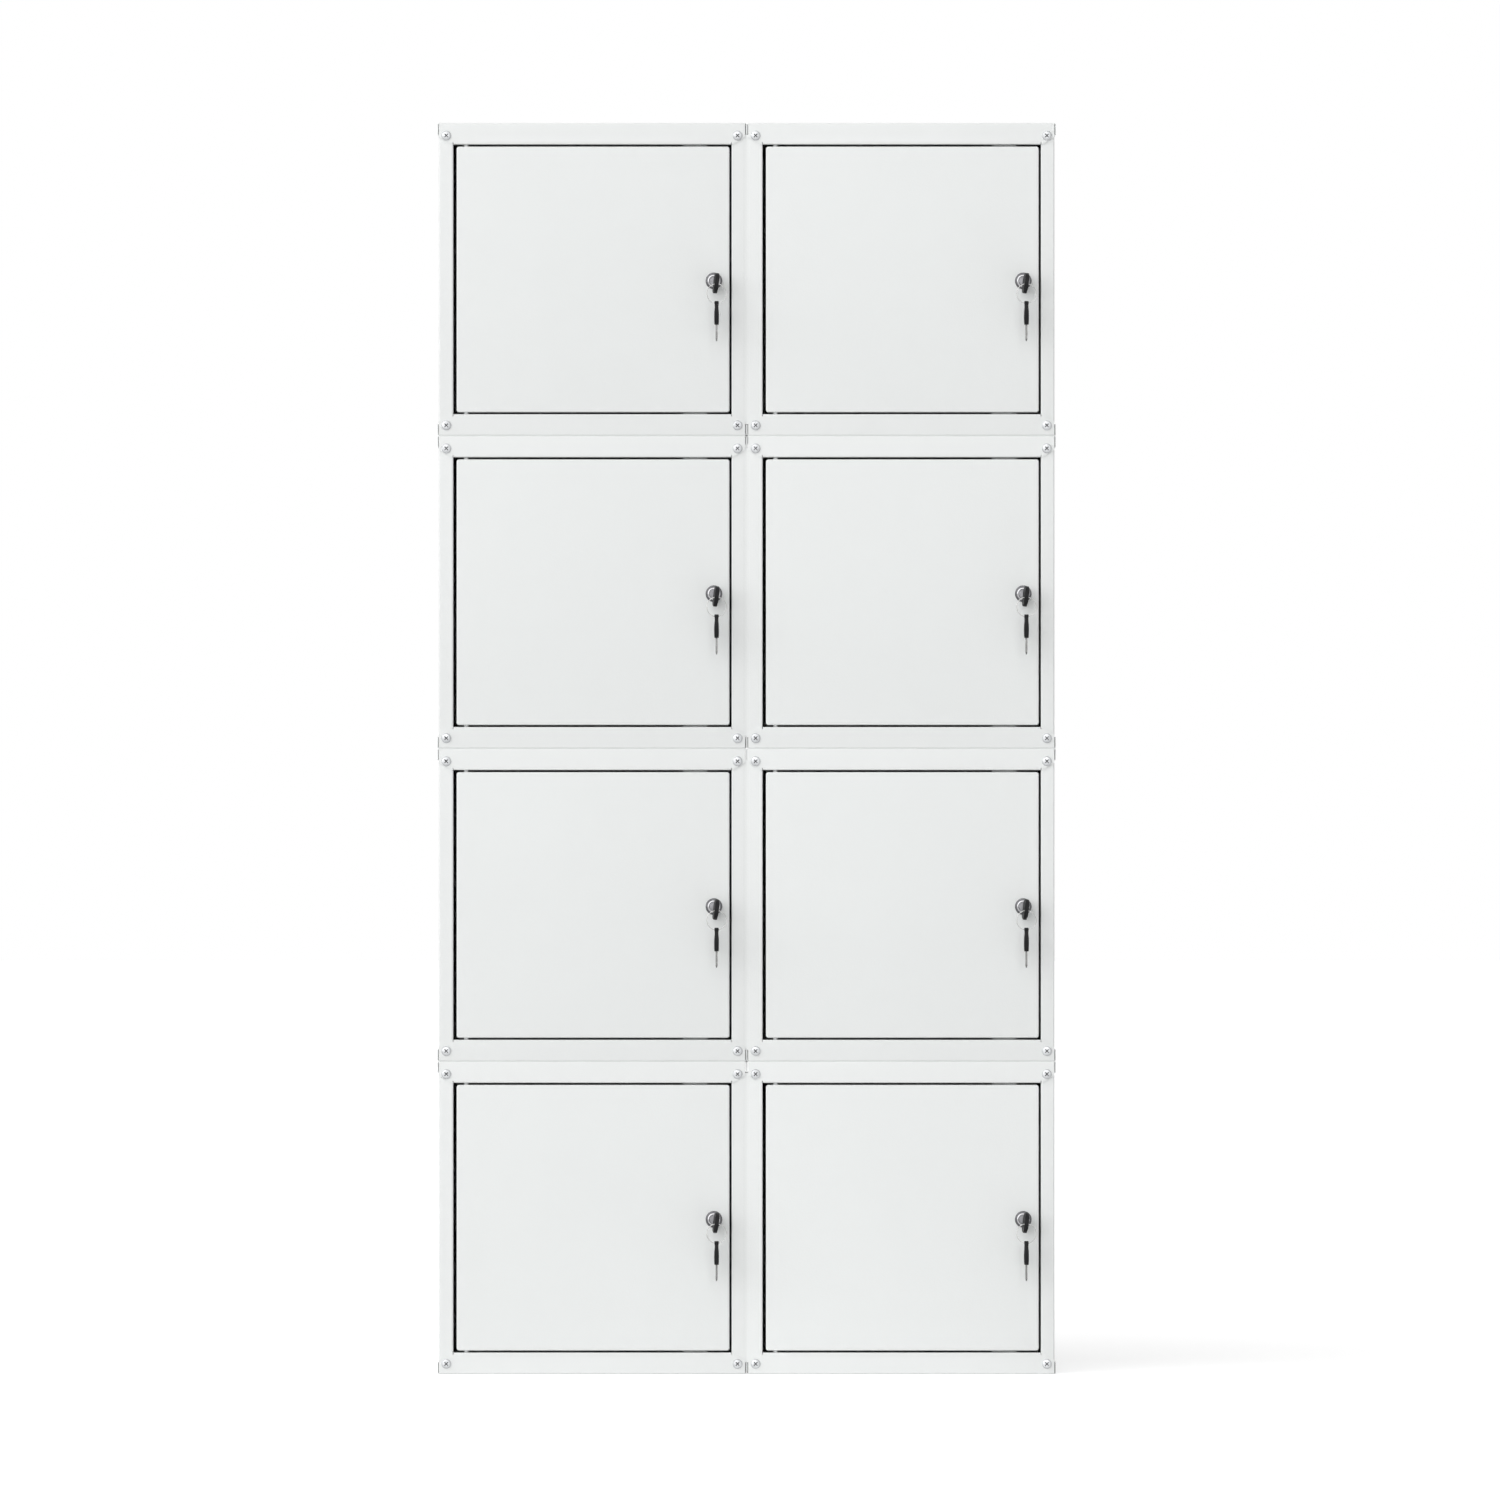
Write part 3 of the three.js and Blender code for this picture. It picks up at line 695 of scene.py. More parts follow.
def powder_coat(name, colour):
    return surface(name, "powder coat", powder_coat_group, Paint=opaque(colour), Fall=paint().painted_shade)


def metal(name, colour, dull, depth, grain=(1, 1, 1)):
    return surface(name, "worked metal", worked_metal_group, metallic=1.0, Metal=opaque(colour),
                   Grain=grain, Dull=dull, Depth=depth)


def plastic(name, colour, dull=0.5, specular=0.5):
    return surface(name, "moulded plastic", moulded_plastic_group, specular=specular,
                   Plastic=opaque(colour), Dull=dull)


def cabinet_paint():
    return powder_coat("cabinet powder coat", paint().cabinet)


def door_paint():
    return powder_coat("door powder coat", paint().door)


def bezel_chrome():
    return metal("bezel chrome", paint().chrome, dull=0.16, depth=0.15)


# Painted dark reflection: the bezel chrome made dark on the flange.
def bezel_painted_reflection():
    return metal("bezel painted dark reflection", paint().chrome_painted_reflection, dull=0.3, depth=0.2)


def cast_plug():
    return metal("die-cast plug", paint().cast, dull=0.34, depth=0.4, grain=(1, 1, 0.2))


def bright_zinc():
    return metal("bright zinc", paint().zinc, dull=0.5, depth=0.35)


def blade_nickel():
    return metal("blade nickel", paint().blade, dull=0.26, depth=0.5, grain=(1, 1, 0.05))


def wire_nickel():
    return metal("wire nickel", paint().nickel, dull=0.3, depth=0.1)


# Painted shade in the screws' cross recesses: dark metal where the recess is shaded.
def recess_painted_shade():
    return metal("recess painted shade", paint().recess, dull=0.5, depth=0.3)


def key_nylon():
    return plastic("key nylon", paint().nylon, specular=0.15)


def slit_painted_shade():
    return plastic("slit painted shade", paint().slit_shade, dull=0.6, specular=0.2)


def pale_plastic():
    return plastic("pale plastic", paint().cap)


# Folded sheet

def slice_at(axis, value, wanted=None):
    """Cuts the faces that pass the test, or all of them, along a plane, and keeps both sides."""
    if wanted:
        pick("FACE", wanted)
    else:
        bpy.ops.mesh.select_all(action="SELECT")
    normal = [0, 0, 0]
    normal[axis] = 1
    spot = [0, 0, 0]
    spot[axis] = value
    bpy.ops.mesh.bisect(plane_co=spot, plane_no=normal, threshold=TOUCH)


def model_case(case, gear, at):
    """Stiles, sides and back, folded from one sheet."""
    low, high = at.front, at.height - at.front
    piece = flat("case", (at.side, at.back, low), (at.width - at.side, at.back, high))
    with editing(piece):
        for wall, opening in ((at.side, at.open_left), (at.width - at.side, at.open_right)):
            pick("EDGE", lies_on(0, wall))
            push((0, at.front - at.back, 0), (opening - wall, 0, 0), (0, case.reveal - at.front, 0))
        round_folds(case.bend, lambda edge: True)
    face_out(piece, 1, at.back, 1)
    thicken(piece, case.sheet)
    drill = turned("drill", "X", (0, gear.bolt_depth, at.height / 2),
                   [(-case.sheet, gear.bolt_hole), (at.width + case.sheet, gear.bolt_hole)], sides=32)
    cut(piece, drill)
    return smooth(rounded(piece, case.edge))


def model_rail_panel(case, door, at, name, rail, opening, pivot, stop):
    """A roof panel with its outer face at Z zero: sheet, flanges, rail, reveal and door stop.
    The floor panel is the same pressing turned over, so the places along X are given for each."""
    near_x, far_x = at.side, at.width - at.side
    left, right = opening[0] + case.fit, opening[1] - case.fit
    feet = opening[0] - case.corner_inset, opening[1] + case.corner_inset
    piece = flat(name, (0, 0, 0), (at.width, case.depth, 0))
    with editing(piece):
        reliefs = (left - case.relief_width, left), (right, right + case.relief_width)
        for value in (near_x, far_x, *reliefs[0], *reliefs[1], *feet, *stop):
            slice_at(0, value)
        ends = case.flange_setback, case.depth - case.flange_setback
        for value in ends:
            slice_at(1, value)
        pick("FACE", lambda face: not near_x < middle(face).x < far_x
             and not ends[0] < middle(face).y < ends[1])
        bpy.ops.mesh.delete(type="FACE")
        pick("EDGE", lies_on(1, 0))
        push((0, 0, -rail))
        for value in (near_x, far_x):
            pick("VERT", lambda vert: (vert.co - Vector((value, 0, -rail))).length < TOUCH)
            bpy.ops.transform.translate(value=(0, 0, case.corner_rise))
        slice_at(2, case.relief_height - rail, lies_on(1, 0))
        for low, high in reliefs:
            pick("FACE", lambda face: lies_on(1, 0)(face) and low < middle(face).x < high
                 and middle(face).z < case.relief_height - rail)
            bpy.ops.mesh.delete(type="FACE")
        pick("EDGE", lambda edge: lies_on(1, 0)(edge) and lies_on(2, -rail)(edge)
             and left < middle(edge).x < right)
        push((0, case.reveal, 0))
        tab = case.reveal - case.sheet
        slice_at(1, tab, lies_on(2, -rail))
        pick("FACE", lambda face: lies_on(2, -rail)(face) and middle(face).y > tab
             and stop[0] < middle(face).x < stop[1])
        bpy.ops.mesh.delete(type="FACE")
        pick("EDGE", lambda edge: lies_on(1, tab)(edge) and lies_on(2, -rail)(edge)
             and stop[0] < middle(edge).x < stop[1])
        push((0, 0, -case.stop_height))
        for axis, value in ((0, 0), (0, at.width), (1, case.depth)):
            pick("EDGE", lambda edge: lies_on(axis, value)(edge) and lies_on(2, 0)(edge))
            push((0, 0, -case.flange))
        bpy.ops.mesh.select_all(action="SELECT")
        bpy.ops.mesh.dissolve_limited(angle_limit=FLAT_ANGLE)
        round_folds(case.bend - case.sheet, lambda edge: lies_on(1, tab)(edge), segments=3)
        round_folds(case.bend, lambda edge: not near(middle(edge).y, tab))
    face_out(piece, 2, 0, 1)
    thicken(piece, case.sheet)
    hole = door.pin_stub + door.pin_clearance
    cut(piece, turned("drill", "Z", (pivot, at.hinge_y, -rail),
                      [(-case.sheet, hole), (2 * case.sheet, hole)], sides=24))
    return smooth(rounded(piece, case.edge))


# Doors

SAW_SHARE = 1.5
RIVET_SHARE = 1.5
RIVET_EDGE_SHARE = 0.3


def double_d(name, at, radius, flat_half, start, end, sides=48):
    """A round bar along Y at the lock, with a flat above and below."""
    bar = turned(name, "Y", (at.lock_x, 0, at.lock_z), [(start, radius), (end, radius)], sides)
    with editing(bar):
        for sign in (-1, 1):
            bpy.ops.mesh.select_all(action="SELECT")
            bpy.ops.mesh.bisect(plane_co=(0, 0, at.lock_z + sign * flat_half), plane_no=(0, 0, sign),
                                use_fill=True, clear_outer=True)
    return bar


def model_door(case, door, lock, at):
    """A pan folded from one sheet, with rear lips, mitred corners and the lock's hole."""
    piece = block("door", (at.door_left, at.front, at.door_bottom),
                  (at.door_right, at.door_back, at.door_top))
    with editing(piece):
        pick("FACE", lies_on(1, at.door_back))
        bpy.ops.mesh.inset(thickness=door.lip)
        bpy.ops.mesh.delete(type="FACE")
        pick("EDGE", lambda edge: abs((edge.verts[0].co - edge.verts[1].co).y) > door.depth / 2)
        bpy.ops.mesh.bevel(offset=door.corner, segments=6, profile=0.5, affect="EDGES")
        round_folds(door.bend, lambda edge: lies_on(1, at.front)(edge) or lies_on(1, at.door_back)(edge))
    face_out(piece, 1, at.front, -1)
    thicken(piece, case.sheet)
    cutters = [double_d("drill", at, lock.barrel + case.fit, lock.barrel_flat + case.fit,
                        at.front - case.sheet, at.front + 2 * case.sheet)]
    half_cut, offset = door.lip * math.sqrt(2) / 2, (door.lip + door.bend) / 2
    for x, across in ((at.door_left, 1), (at.door_right, -1)):
        for z, up in ((at.door_bottom, 1), (at.door_top, -1)):
            saw = block("saw", (-half_cut, -SAW_SHARE * case.sheet, -door.mitre / 2),
                        (half_cut, case.sheet, door.mitre / 2))
            saw.rotation_euler.y = -across * up * RIGHT_ANGLE / 2
            saw.location = (x + across * offset, at.door_back, z + up * offset)
            cutters.append(saw)
    bpy.context.view_layer.update()
    cut(piece, *cutters)
    return smooth(rounded(piece, case.edge))


def model_pin(case, door, at, edge, gap, up):
    """A pivot pin riveted into the door's edge: rivet, sleeve in the gap and stub in the rail."""
    rivet, shoulder = RIVET_SHARE * door.pin_shoulder, gap - case.fit
    end = gap + case.sheet + door.pin_reach
    profile = [
        (-2 * case.sheet, rivet - case.fit), ((RIVET_EDGE_SHARE - 2) * case.sheet, rivet),
        (-case.sheet, rivet), (-case.sheet, door.pin_shoulder), (shoulder, door.pin_shoulder),
        (shoulder, door.pin_stub), (end - case.fit, door.pin_stub), (end, door.pin_stub - case.fit),
    ]
    profile = [(up * place, radius) for place, radius in profile]
    return smooth(turned("pin", "Z", (at.hinge_x, at.hinge_y, edge), profile, sides=32))


# Fasteners, each made on the Y axis: the face looks to -Y and the seat is at Y zero

DOME_SHARES = ((1.0, 0.34), (0.97, 0.54), (0.88, 0.71), (0.72, 0.86), (0.5, 0.95), (0.28, 1.0),
               (0.06, 1.0), (0.0, 0.97))
CROSS_FOOT_SHARES = (0.4, 1, 0.7)
SCREW_EDGE_SHARE = 0.02
NUT_CHAMFER_SHARE = 0.09
NUT_EDGE_SHARE = 0.03
WASHER_EDGE_SHARE = 0.25
WASHER_SHARE = 1.3
SHANK_SHARE = 0.7
CAP_SHARES = ((-1.0, 0.55), (-0.8, 0.85), (-0.4, 1.0), (0, 1.0))
BEAD_DEPTH_SHARE = 0.3
FOLD_SHARES = (0.06, 0.2, 0.45, 0.8)


def model_pan_screw(name, gear, radius, height, shank, shank_length, sides=40):
    """A domed head with a cross recess, and its shank."""
    profile = [(-height * along, radius * across) for along, across in DOME_SHARES]
    piece = turned(name, "Y", (0, 0, 0), profile + [(0, shank), (shank_length, shank)], sides)
    coat(piece, bright_zinc(), recess_painted_shade())
    size = radius / gear.screw
    reach, wide, deep = gear.recess * size, gear.recess_width * size, gear.recess_depth * size
    wings = []
    for turn in (RIGHT_ANGLE / 2, -RIGHT_ANGLE / 2):
        wing = block("wing", (-reach, 0, -wide / 2), (reach, deep, wide / 2))
        with editing(wing):
            pick("VERT", lambda vert: near(vert.co.y, deep))
            bpy.ops.transform.resize(value=CROSS_FOOT_SHARES, center_override=(0, deep, 0))
            pick("FACE", lies_on(1, 0))
            push((0, -height, 0))
        coat(wing, bright_zinc(), recess_painted_shade())
        # The cross recess's faces take the second material, the painted shade.
        for polygon in wing.data.polygons:
            polygon.material_index = 1
        wings.append(placed(wing, (0, -height, 0), (0, turn, 0)))
    cut(piece, *wings)
    return smooth(rounded(piece, SCREW_EDGE_SHARE * radius, segments=1, over=55))


def model_hex_nut(name, corners, height, bore):
    """A chamfered hexagon nut."""
    chamfer = NUT_CHAMFER_SHARE * corners
    profile = [(0, corners - chamfer), (chamfer / 2, corners), (height - chamfer / 2, corners),
               (height, corners - chamfer)]
    piece = turned(name, "Y", (0, 0, 0), profile, sides=6)
    cut(piece, turned("drill", "Y", (0, 0, 0), [(-height, bore), (2 * height, bore)], sides=32))
    return smooth(rounded(piece, NUT_EDGE_SHARE * corners, over=40))


def model_washer(name, radius, thickness, bore):
    ring = [(0, bore), (0, radius), (thickness, radius), (thickness, bore), (0, bore)]
    return smooth(rounded(turned(name, "Y", (0, 0, 0), ring, sides=32), WASHER_EDGE_SHARE * thickness))


def model_seam_strip(case, gear, at, seam):
    """A strip between two columns, whose face widens along the folds on both sides."""
    half, centre = seam + at.side + TOUCH, at.width + seam
    end, back = case.flange + case.fit, gear.bolt_depth + gear.bolt_head
    piece = block("strip", (centre - half, at.front + FOLD_SHARES[0] * case.bend, end),
                  (centre + half, back, at.height - end))
    with editing(piece):
        for depth in FOLD_SHARES:
            place = at.front + depth * case.bend
            slice_at(1, place)
            wider = (1 - math.sqrt(1 - (1 - depth) ** 2)) * case.bend - case.edge / 3
            pick("VERT", lambda vert: near(vert.co.y, place))
            bpy.ops.transform.resize(value=(1 + wider / half, 1, 1), center_override=(centre, place, 0))
    return smooth(piece)


def model_slit_shade(case, side):
    """A near-black strip in the slit between a side wall and the lower flange that laps it, as painted
    shade for that slit.
    """
    front, back = case.flange_setback + case.fit, case.flange_setback + case.flange
    low, high = (side, front, case.sheet), (side + case.slit, back, case.flange - case.edge)
    return smooth(block("seal", low, high))


# Locks

BOSS_SHARES = ((0.3, 0.0), (0.0, 0.14), (0.0, 0.3), (0.12, 0.5), (0.45, 0.72), (1.0, 0.9))
FLANGE_SHARE = 0.4
BEZEL_SLOPE_SHARES = (0.25, 0.35)
THREAD_SHARE = 0.4
PLUG_EDGE_SHARE = 0.35
PLUG_END_SHARE = 0.72
CAM_ROUND_SHARE = 0.8
CAM_TIP_SHARE = 0.25
CAM_EDGE_SHARE = 0.12


def model_bezel(lock, at):
    """A flange with a sloping edge and a domed boss round the plug's bore."""
    bore = lock.plug + lock.plug_play
    front, seat = at.bezel, at.front
    flange = seat - lock.bezel_foot - FLANGE_SHARE * lock.bezel_height
    boss = [(front + back * lock.dish_depth, bore + out * (lock.dish - bore))
            for back, out in BOSS_SHARES]
    back, out = BEZEL_SLOPE_SHARES
    profile = [
        (seat, bore), *boss, (flange, lock.dish), (flange, lock.bezel_rim),
        (flange + back * (seat - flange), lock.bezel - out * (lock.bezel - lock.bezel_rim)),
        (seat - lock.bezel_foot, lock.bezel), (seat, lock.bezel), (seat, bore),
    ]
    piece = turned("bezel", "Y", (at.lock_x, 0, at.lock_z), profile, sides=72)
    # The flange and sloping edge outside the dish take the second material, the painted dark reflection.
    rim = lock.dish + TOUCH
    for polygon in piece.data.polygons:
        reach = (polygon.center - Vector((at.lock_x, polygon.center.y, at.lock_z))).length
        polygon.material_index = 1 if reach > rim else 0
    return smooth(piece)


def model_lock_body(case, lock, at):
    """The threaded body behind the bezel, flatted above and below."""
    bore, root = lock.plug + lock.plug_play, lock.barrel - lock.thread_depth
    foot, start = at.front - lock.bezel_foot, at.front + case.sheet
    threads = int((at.barrel_back - start) / lock.thread_pitch)
    profile = [(foot, bore), (foot, lock.barrel), (start, lock.barrel)]
    for turn in range(threads):
        crest = start + (turn + 1 / 2) * lock.thread_pitch
        profile += [(crest - THREAD_SHARE * lock.thread_pitch, root), (crest, lock.barrel)]
    profile += [(at.barrel_back, root), (at.barrel_back, bore), (foot, bore)]
    piece = turned("body", "Y", (at.lock_x, 0, at.lock_z), profile, sides=40)
    wide, ends = 2 * lock.barrel, (at.bezel, at.barrel_back + case.sheet)
    cheeks = [block("cheek", (at.lock_x - wide, ends[0], at.lock_z + low),
                    (at.lock_x + wide, ends[1], at.lock_z + high))
              for low, high in ((lock.barrel_flat, wide), (-wide, -lock.barrel_flat))]
    return smooth(cut(piece, *cheeks), up_to=25)


def model_plug(case, lock, keys, at):
    """The plug with its keyway, turned as the key is, running through the body to the cam."""
    edge = PLUG_EDGE_SHARE * lock.plug_play
    shoulder, end = at.barrel_back + lock.cam_gap / 2, at.cam + lock.cam_thickness + case.fit
    neck = PLUG_END_SHARE * lock.plug
    profile = [(at.plug, lock.plug - 4 * edge), (at.plug + edge, lock.plug - edge),
               (at.plug + 3 * edge, lock.plug), (shoulder, lock.plug), (shoulder, neck), (end, neck)]
    piece = turned("plug", "Y", (at.lock_x, 0, at.lock_z), profile, sides=48)
    wide, high = lock.keyway_width / 2, lock.keyway_height / 2
    keyway = block("keyway", (keys.aside - wide, at.plug - case.sheet, -high),
                   (keys.aside + wide, at.plug + lock.keyway_depth, high))
    placed(keyway, (at.lock_x, 0, at.lock_z), (0, keys.turn, 0))
    return smooth(rounded(cut(piece, keyway), edge / 2))


def model_cam(lock, at):
    """The flat cam on the plug's end, tapering to its tip."""
    half, foot, tip = lock.cam_width / 2, at.lock_z - lock.cam_width / 2, at.lock_z + lock.cam_length
    piece = block("cam", (at.lock_x - half, at.cam, foot),
                  (at.lock_x + half, at.cam + lock.cam_thickness, tip))
    ends = (foot, CAM_ROUND_SHARE * half, 6), (tip, CAM_TIP_SHARE * lock.cam_tip, 4)
    with editing(piece):
        slice_at(2, at.lock_z + half)
        pick("VERT", lambda vert: near(vert.co.z, tip))
        bpy.ops.transform.resize(value=(lock.cam_tip / lock.cam_width, 1, 1),
                                 center_override=(at.lock_x, at.cam, tip))
        for place, offset, segments in ends:
            pick("EDGE", lambda edge: lies_on(2, place)(edge)
                 and abs((edge.verts[0].co - edge.verts[1].co).y) > lock.cam_thickness / 2)
            bpy.ops.mesh.bevel(offset=offset, segments=segments, profile=0.5, affect="EDGES")
    return smooth(rounded(piece, CAM_EDGE_SHARE * lock.cam_thickness))


# Keys, each made upright at the origin: blade down, head up, flat faces along X

HEAD_STEPS = 9
HEAD_SHARES = ((0.0, 0.86), (0.04, 0.92), (0.16, 0.98), (0.36, 1.0), (0.58, 0.93), (0.68, 0.82),
               (0.76, 0.77), (0.83, 0.8), (0.9, 0.91), (0.96, 0.9), (1.0, 0.8))
HEAD_END_SHARE = 0.3
THUMB_HEIGHT_SHARE = 0.38
THUMB_BULGE_SHARE = 6
CUT_SHARES = ((0.12, 0.0), (0.19, 0.55), (0.25, 0.55), (0.31, 0.1), (0.37, 0.1), (0.43, 1.0), (0.49, 1.0),
              (0.55, 0.3), (0.6, 0.3), (0.66, 0.8), (0.72, 0.8), (0.79, 0.15))
BLADE_TIP_SHARES = (0.55, 0.2, 1)
BLADE_EDGE_SHARE = 0.12
GROOVE_SHARES = (-0.35, 0.1)
GROOVE_LENGTH_SHARE = 0.85
RING_TURNS = 1.2
RING_PITCH_SHARE = 2.1
RING_STEPS = 110
WIRE_SIDES = 10


def head_thickness(keys, height):
    """The head's thickness at a height, by straight stretches between the shares."""
    place = height / keys.head_length
    for (low, first), (high, second) in zip(HEAD_SHARES, HEAD_SHARES[1:]):
        if place <= high + TOUCH:
            return keys.head_thickness * (first + (second - first) * (place - low) / (high - low))
    return keys.head_thickness * HEAD_SHARES[-1][1]


def head_stations(keys):
    """Heights and half widths of the head: a flared neck, then a round bow."""
    half, neck = keys.head_width / 2, keys.head_neck / 2
    shoulder = keys.head_length - half
    flare = [step / HEAD_STEPS for step in range(HEAD_STEPS + 1)]
    bow = [RIGHT_ANGLE * step / HEAD_STEPS for step in range(1, HEAD_STEPS)]
    stations = [((2 * (1 - up) * keys.head_flare + up * shoulder) * up,
                 half - (1 - up) ** 2 * (half - neck)) for up in flare]
    stations += [(shoulder + half * math.sin(turn), half * math.cos(turn)) for turn in bow]
    return stations + [(keys.head_length, HEAD_END_SHARE * stations[-1][1])]


def model_key_head(keys):
    """A moulded head with rounded edges, a hollow for the thumb and the ring's hole."""
    stations = head_stations(keys)
    thick, wide = head_thickness(keys, 0), 2 * stations[0][1]
    piece = flat("head", (-thick / 2, -wide / 2, 0), (thick / 2, wide / 2, 0))
    with editing(piece):
        bpy.ops.mesh.select_all(action="SELECT")
        bpy.ops.mesh.bevel(offset=keys.head_edge, segments=4, affect="VERTICES")
        for (low, before), (high, after) in zip(stations, stations[1:]):
            thicker = head_thickness(keys, high) / head_thickness(keys, low)
            push((0, 0, high - low))
            bpy.ops.transform.resize(value=(thicker, after / before, 1), center_override=(0, 0, high))
        turn_faces_out()
    thick, half = keys.head_thickness, keys.head_thickness / 2
    bulge = THUMB_BULGE_SHARE * keys.thumb_depth
    sink = bulge - keys.thumb_depth
    reach = keys.thumb_width / 2 / math.sqrt(1 - (sink / bulge) ** 2)
    cutters = []
    for side in (-1, 1):
        centre = (side * (half + sink), 0, THUMB_HEIGHT_SHARE * keys.head_length)
        cutters.append(started("thumb", bpy.ops.mesh.primitive_uv_sphere_add, (bulge, reach, reach),
                               segments=48, ring_count=24, radius=1, location=centre))
    rim, inner = keys.hole + keys.head_edge, half - keys.head_edge
    profile = [(-thick, rim), (-half, rim), (-inner, keys.hole), (inner, keys.hole), (half, rim),
               (thick, rim)]
    drill_height = keys.head_length - keys.hole_inset
    cutters.append(turned("drill", "X", (0, 0, drill_height), profile, sides=40))
    return smooth(cut(piece, *cutters), up_to=40)


def model_key_blade(keys):
    """A flat blade with its cuts, a groove along each side and a pointed tip."""
    thick, half = keys.blade_thickness / 2, keys.blade_width / 2
    low = -keys.blade_length
    piece = block("blade", (-thick, -half, low), (thick, half, keys.head_flare / 2))
    with editing(piece):
        for place, depth in CUT_SHARES:
            slice_at(2, place * low)
            pick("VERT", lambda vert: near(vert.co.z, place * low) and near(vert.co.y, half))
            bpy.ops.transform.translate(value=(0, -depth * keys.blade_cut, 0))
        slice_at(2, low + keys.blade_tip)
        pick("VERT", lambda vert: near(vert.co.z, low))
        bpy.ops.transform.resize(value=BLADE_TIP_SHARES, center_override=(0, 0, low))
    rounded(piece, BLADE_EDGE_SHARE * thick, segments=1)
    near_y, far_y = [across * half for across in GROOVE_SHARES]
    grooves = [block("groove", (side * thick - keys.blade_groove, near_y, GROOVE_LENGTH_SHARE * low),
                     (side * thick + keys.blade_groove, far_y, keys.head_flare))
               for side in (-1, 1)]
    return placed(smooth(cut(piece, *grooves), up_to=25), (0, keys.head_drop, 0))


def model_ring(keys):
    """A split ring of round wire, wound one turn and a fifth about the Y axis."""
    piece = started("ring", bpy.ops.mesh.primitive_circle_add, vertices=WIRE_SIDES, radius=keys.wire,
                    location=(0, 0, keys.ring), rotation=(0, RIGHT_ANGLE, 0))
    length_wound = RING_PITCH_SHARE * keys.wire * RING_TURNS
    modified(piece, "SCREW", axis="Y", angle=math.tau * RING_TURNS, screw_offset=length_wound,
             steps=RING_STEPS, render_steps=RING_STEPS)
    with editing(piece):
        pick("EDGE", lambda edge: len(edge.link_faces) == 1)
        bpy.ops.mesh.fill_holes(sides=0)
        turn_faces_out()
        bpy.ops.transform.translate(value=(0, -length_wound / 2, 0))
    return smooth(piece)


# Operators, in the order in which the bank is finished

def settings():
    scene = bpy.context.scene
    return (scene.locker_case, scene.locker_door, scene.locker_lock, scene.locker_keys,
            scene.locker_fasteners, places())


class LOCKER_OT_case_wraps(bpy.types.Operator):
    """Folds the stiles, sides and back of every cube"""
    bl_idname = "locker.case_wraps"
    bl_label = "Case wraps"
    bl_options = {"REGISTER", "UNDO"}

    def execute(self, context):
        case, _, _, _, gear, at = settings()
        wrap = coat(model_case(case, gear, at), cabinet_paint())
        copies(wrap, "case_shell", "root", stands_for="case_wrap")
        # Near-black strips in the lower slits, as painted shade.
        for name, side in (("left_slit_shade", case.sheet), ("right_slit_shade", at.width - at.side)):
            copies(coat(model_slit_shade(case, side), slit_painted_shade()), name, "root")
        return {"FINISHED"}


class LOCKER_OT_rail_panels(bpy.types.Operator):
    """Presses the roof and the floor of every cube, with their rails"""
    bl_idname = "locker.rail_panels"
    bl_label = "Rail panels"
    bl_options = {"REGISTER", "UNDO"}

    def execute(self, context):
        case, door, _, _, _, at = settings()
        opening = at.open_left, at.open_right
        stop = at.open_right - case.stop_offset - case.stop_width
        roof = model_rail_panel(case, door, at, "roof", case.rail_top, opening, at.hinge_x,
                                (stop, stop + case.stop_width))
        placed(roof, (0, 0, at.height))
        opening = at.width - at.open_right, at.width - at.open_left
        stop = case.stile_right + case.stop_offset
        floor = model_rail_panel(case, door, at, "floor", case.rail_bottom, opening,
                                 at.width - at.hinge_x, (stop, stop + case.stop_width))
        placed(floor, (at.width, 0, 0), (0, math.pi, 0))
        for panel, name, node_name in ((roof, "roof_panel", "top_panel"),
                                       (floor, "floor_panel", "bottom_panel")):
            copies(coat(panel, cabinet_paint()), name, "root", stands_for=node_name)
        return {"FINISHED"}


class LOCKER_OT_doors(bpy.types.Operator):
    """Folds the door pans and rivets in their pivot pins"""
    bl_idname = "locker.doors"
    bl_label = "Doors and pivot pins"
    bl_options = {"REGISTER", "UNDO"}

    def execute(self, context):
        case, door, lock, _, _, at = settings()
        pan = coat(model_door(case, door, lock, at), door_paint())
        copies(pan, "door_pan", "door_{}", stands_for="door")
        for name, edge, gap, up in (("upper_pin", at.door_top, door.gap_top, 1),
                                    ("lower_pin", at.door_bottom, door.gap_bottom, -1)):
            pin = coat(model_pin(case, door, at, edge, gap, up), pale_plastic())
            copies(pin, name, "door_{}")
        return {"FINISHED"}


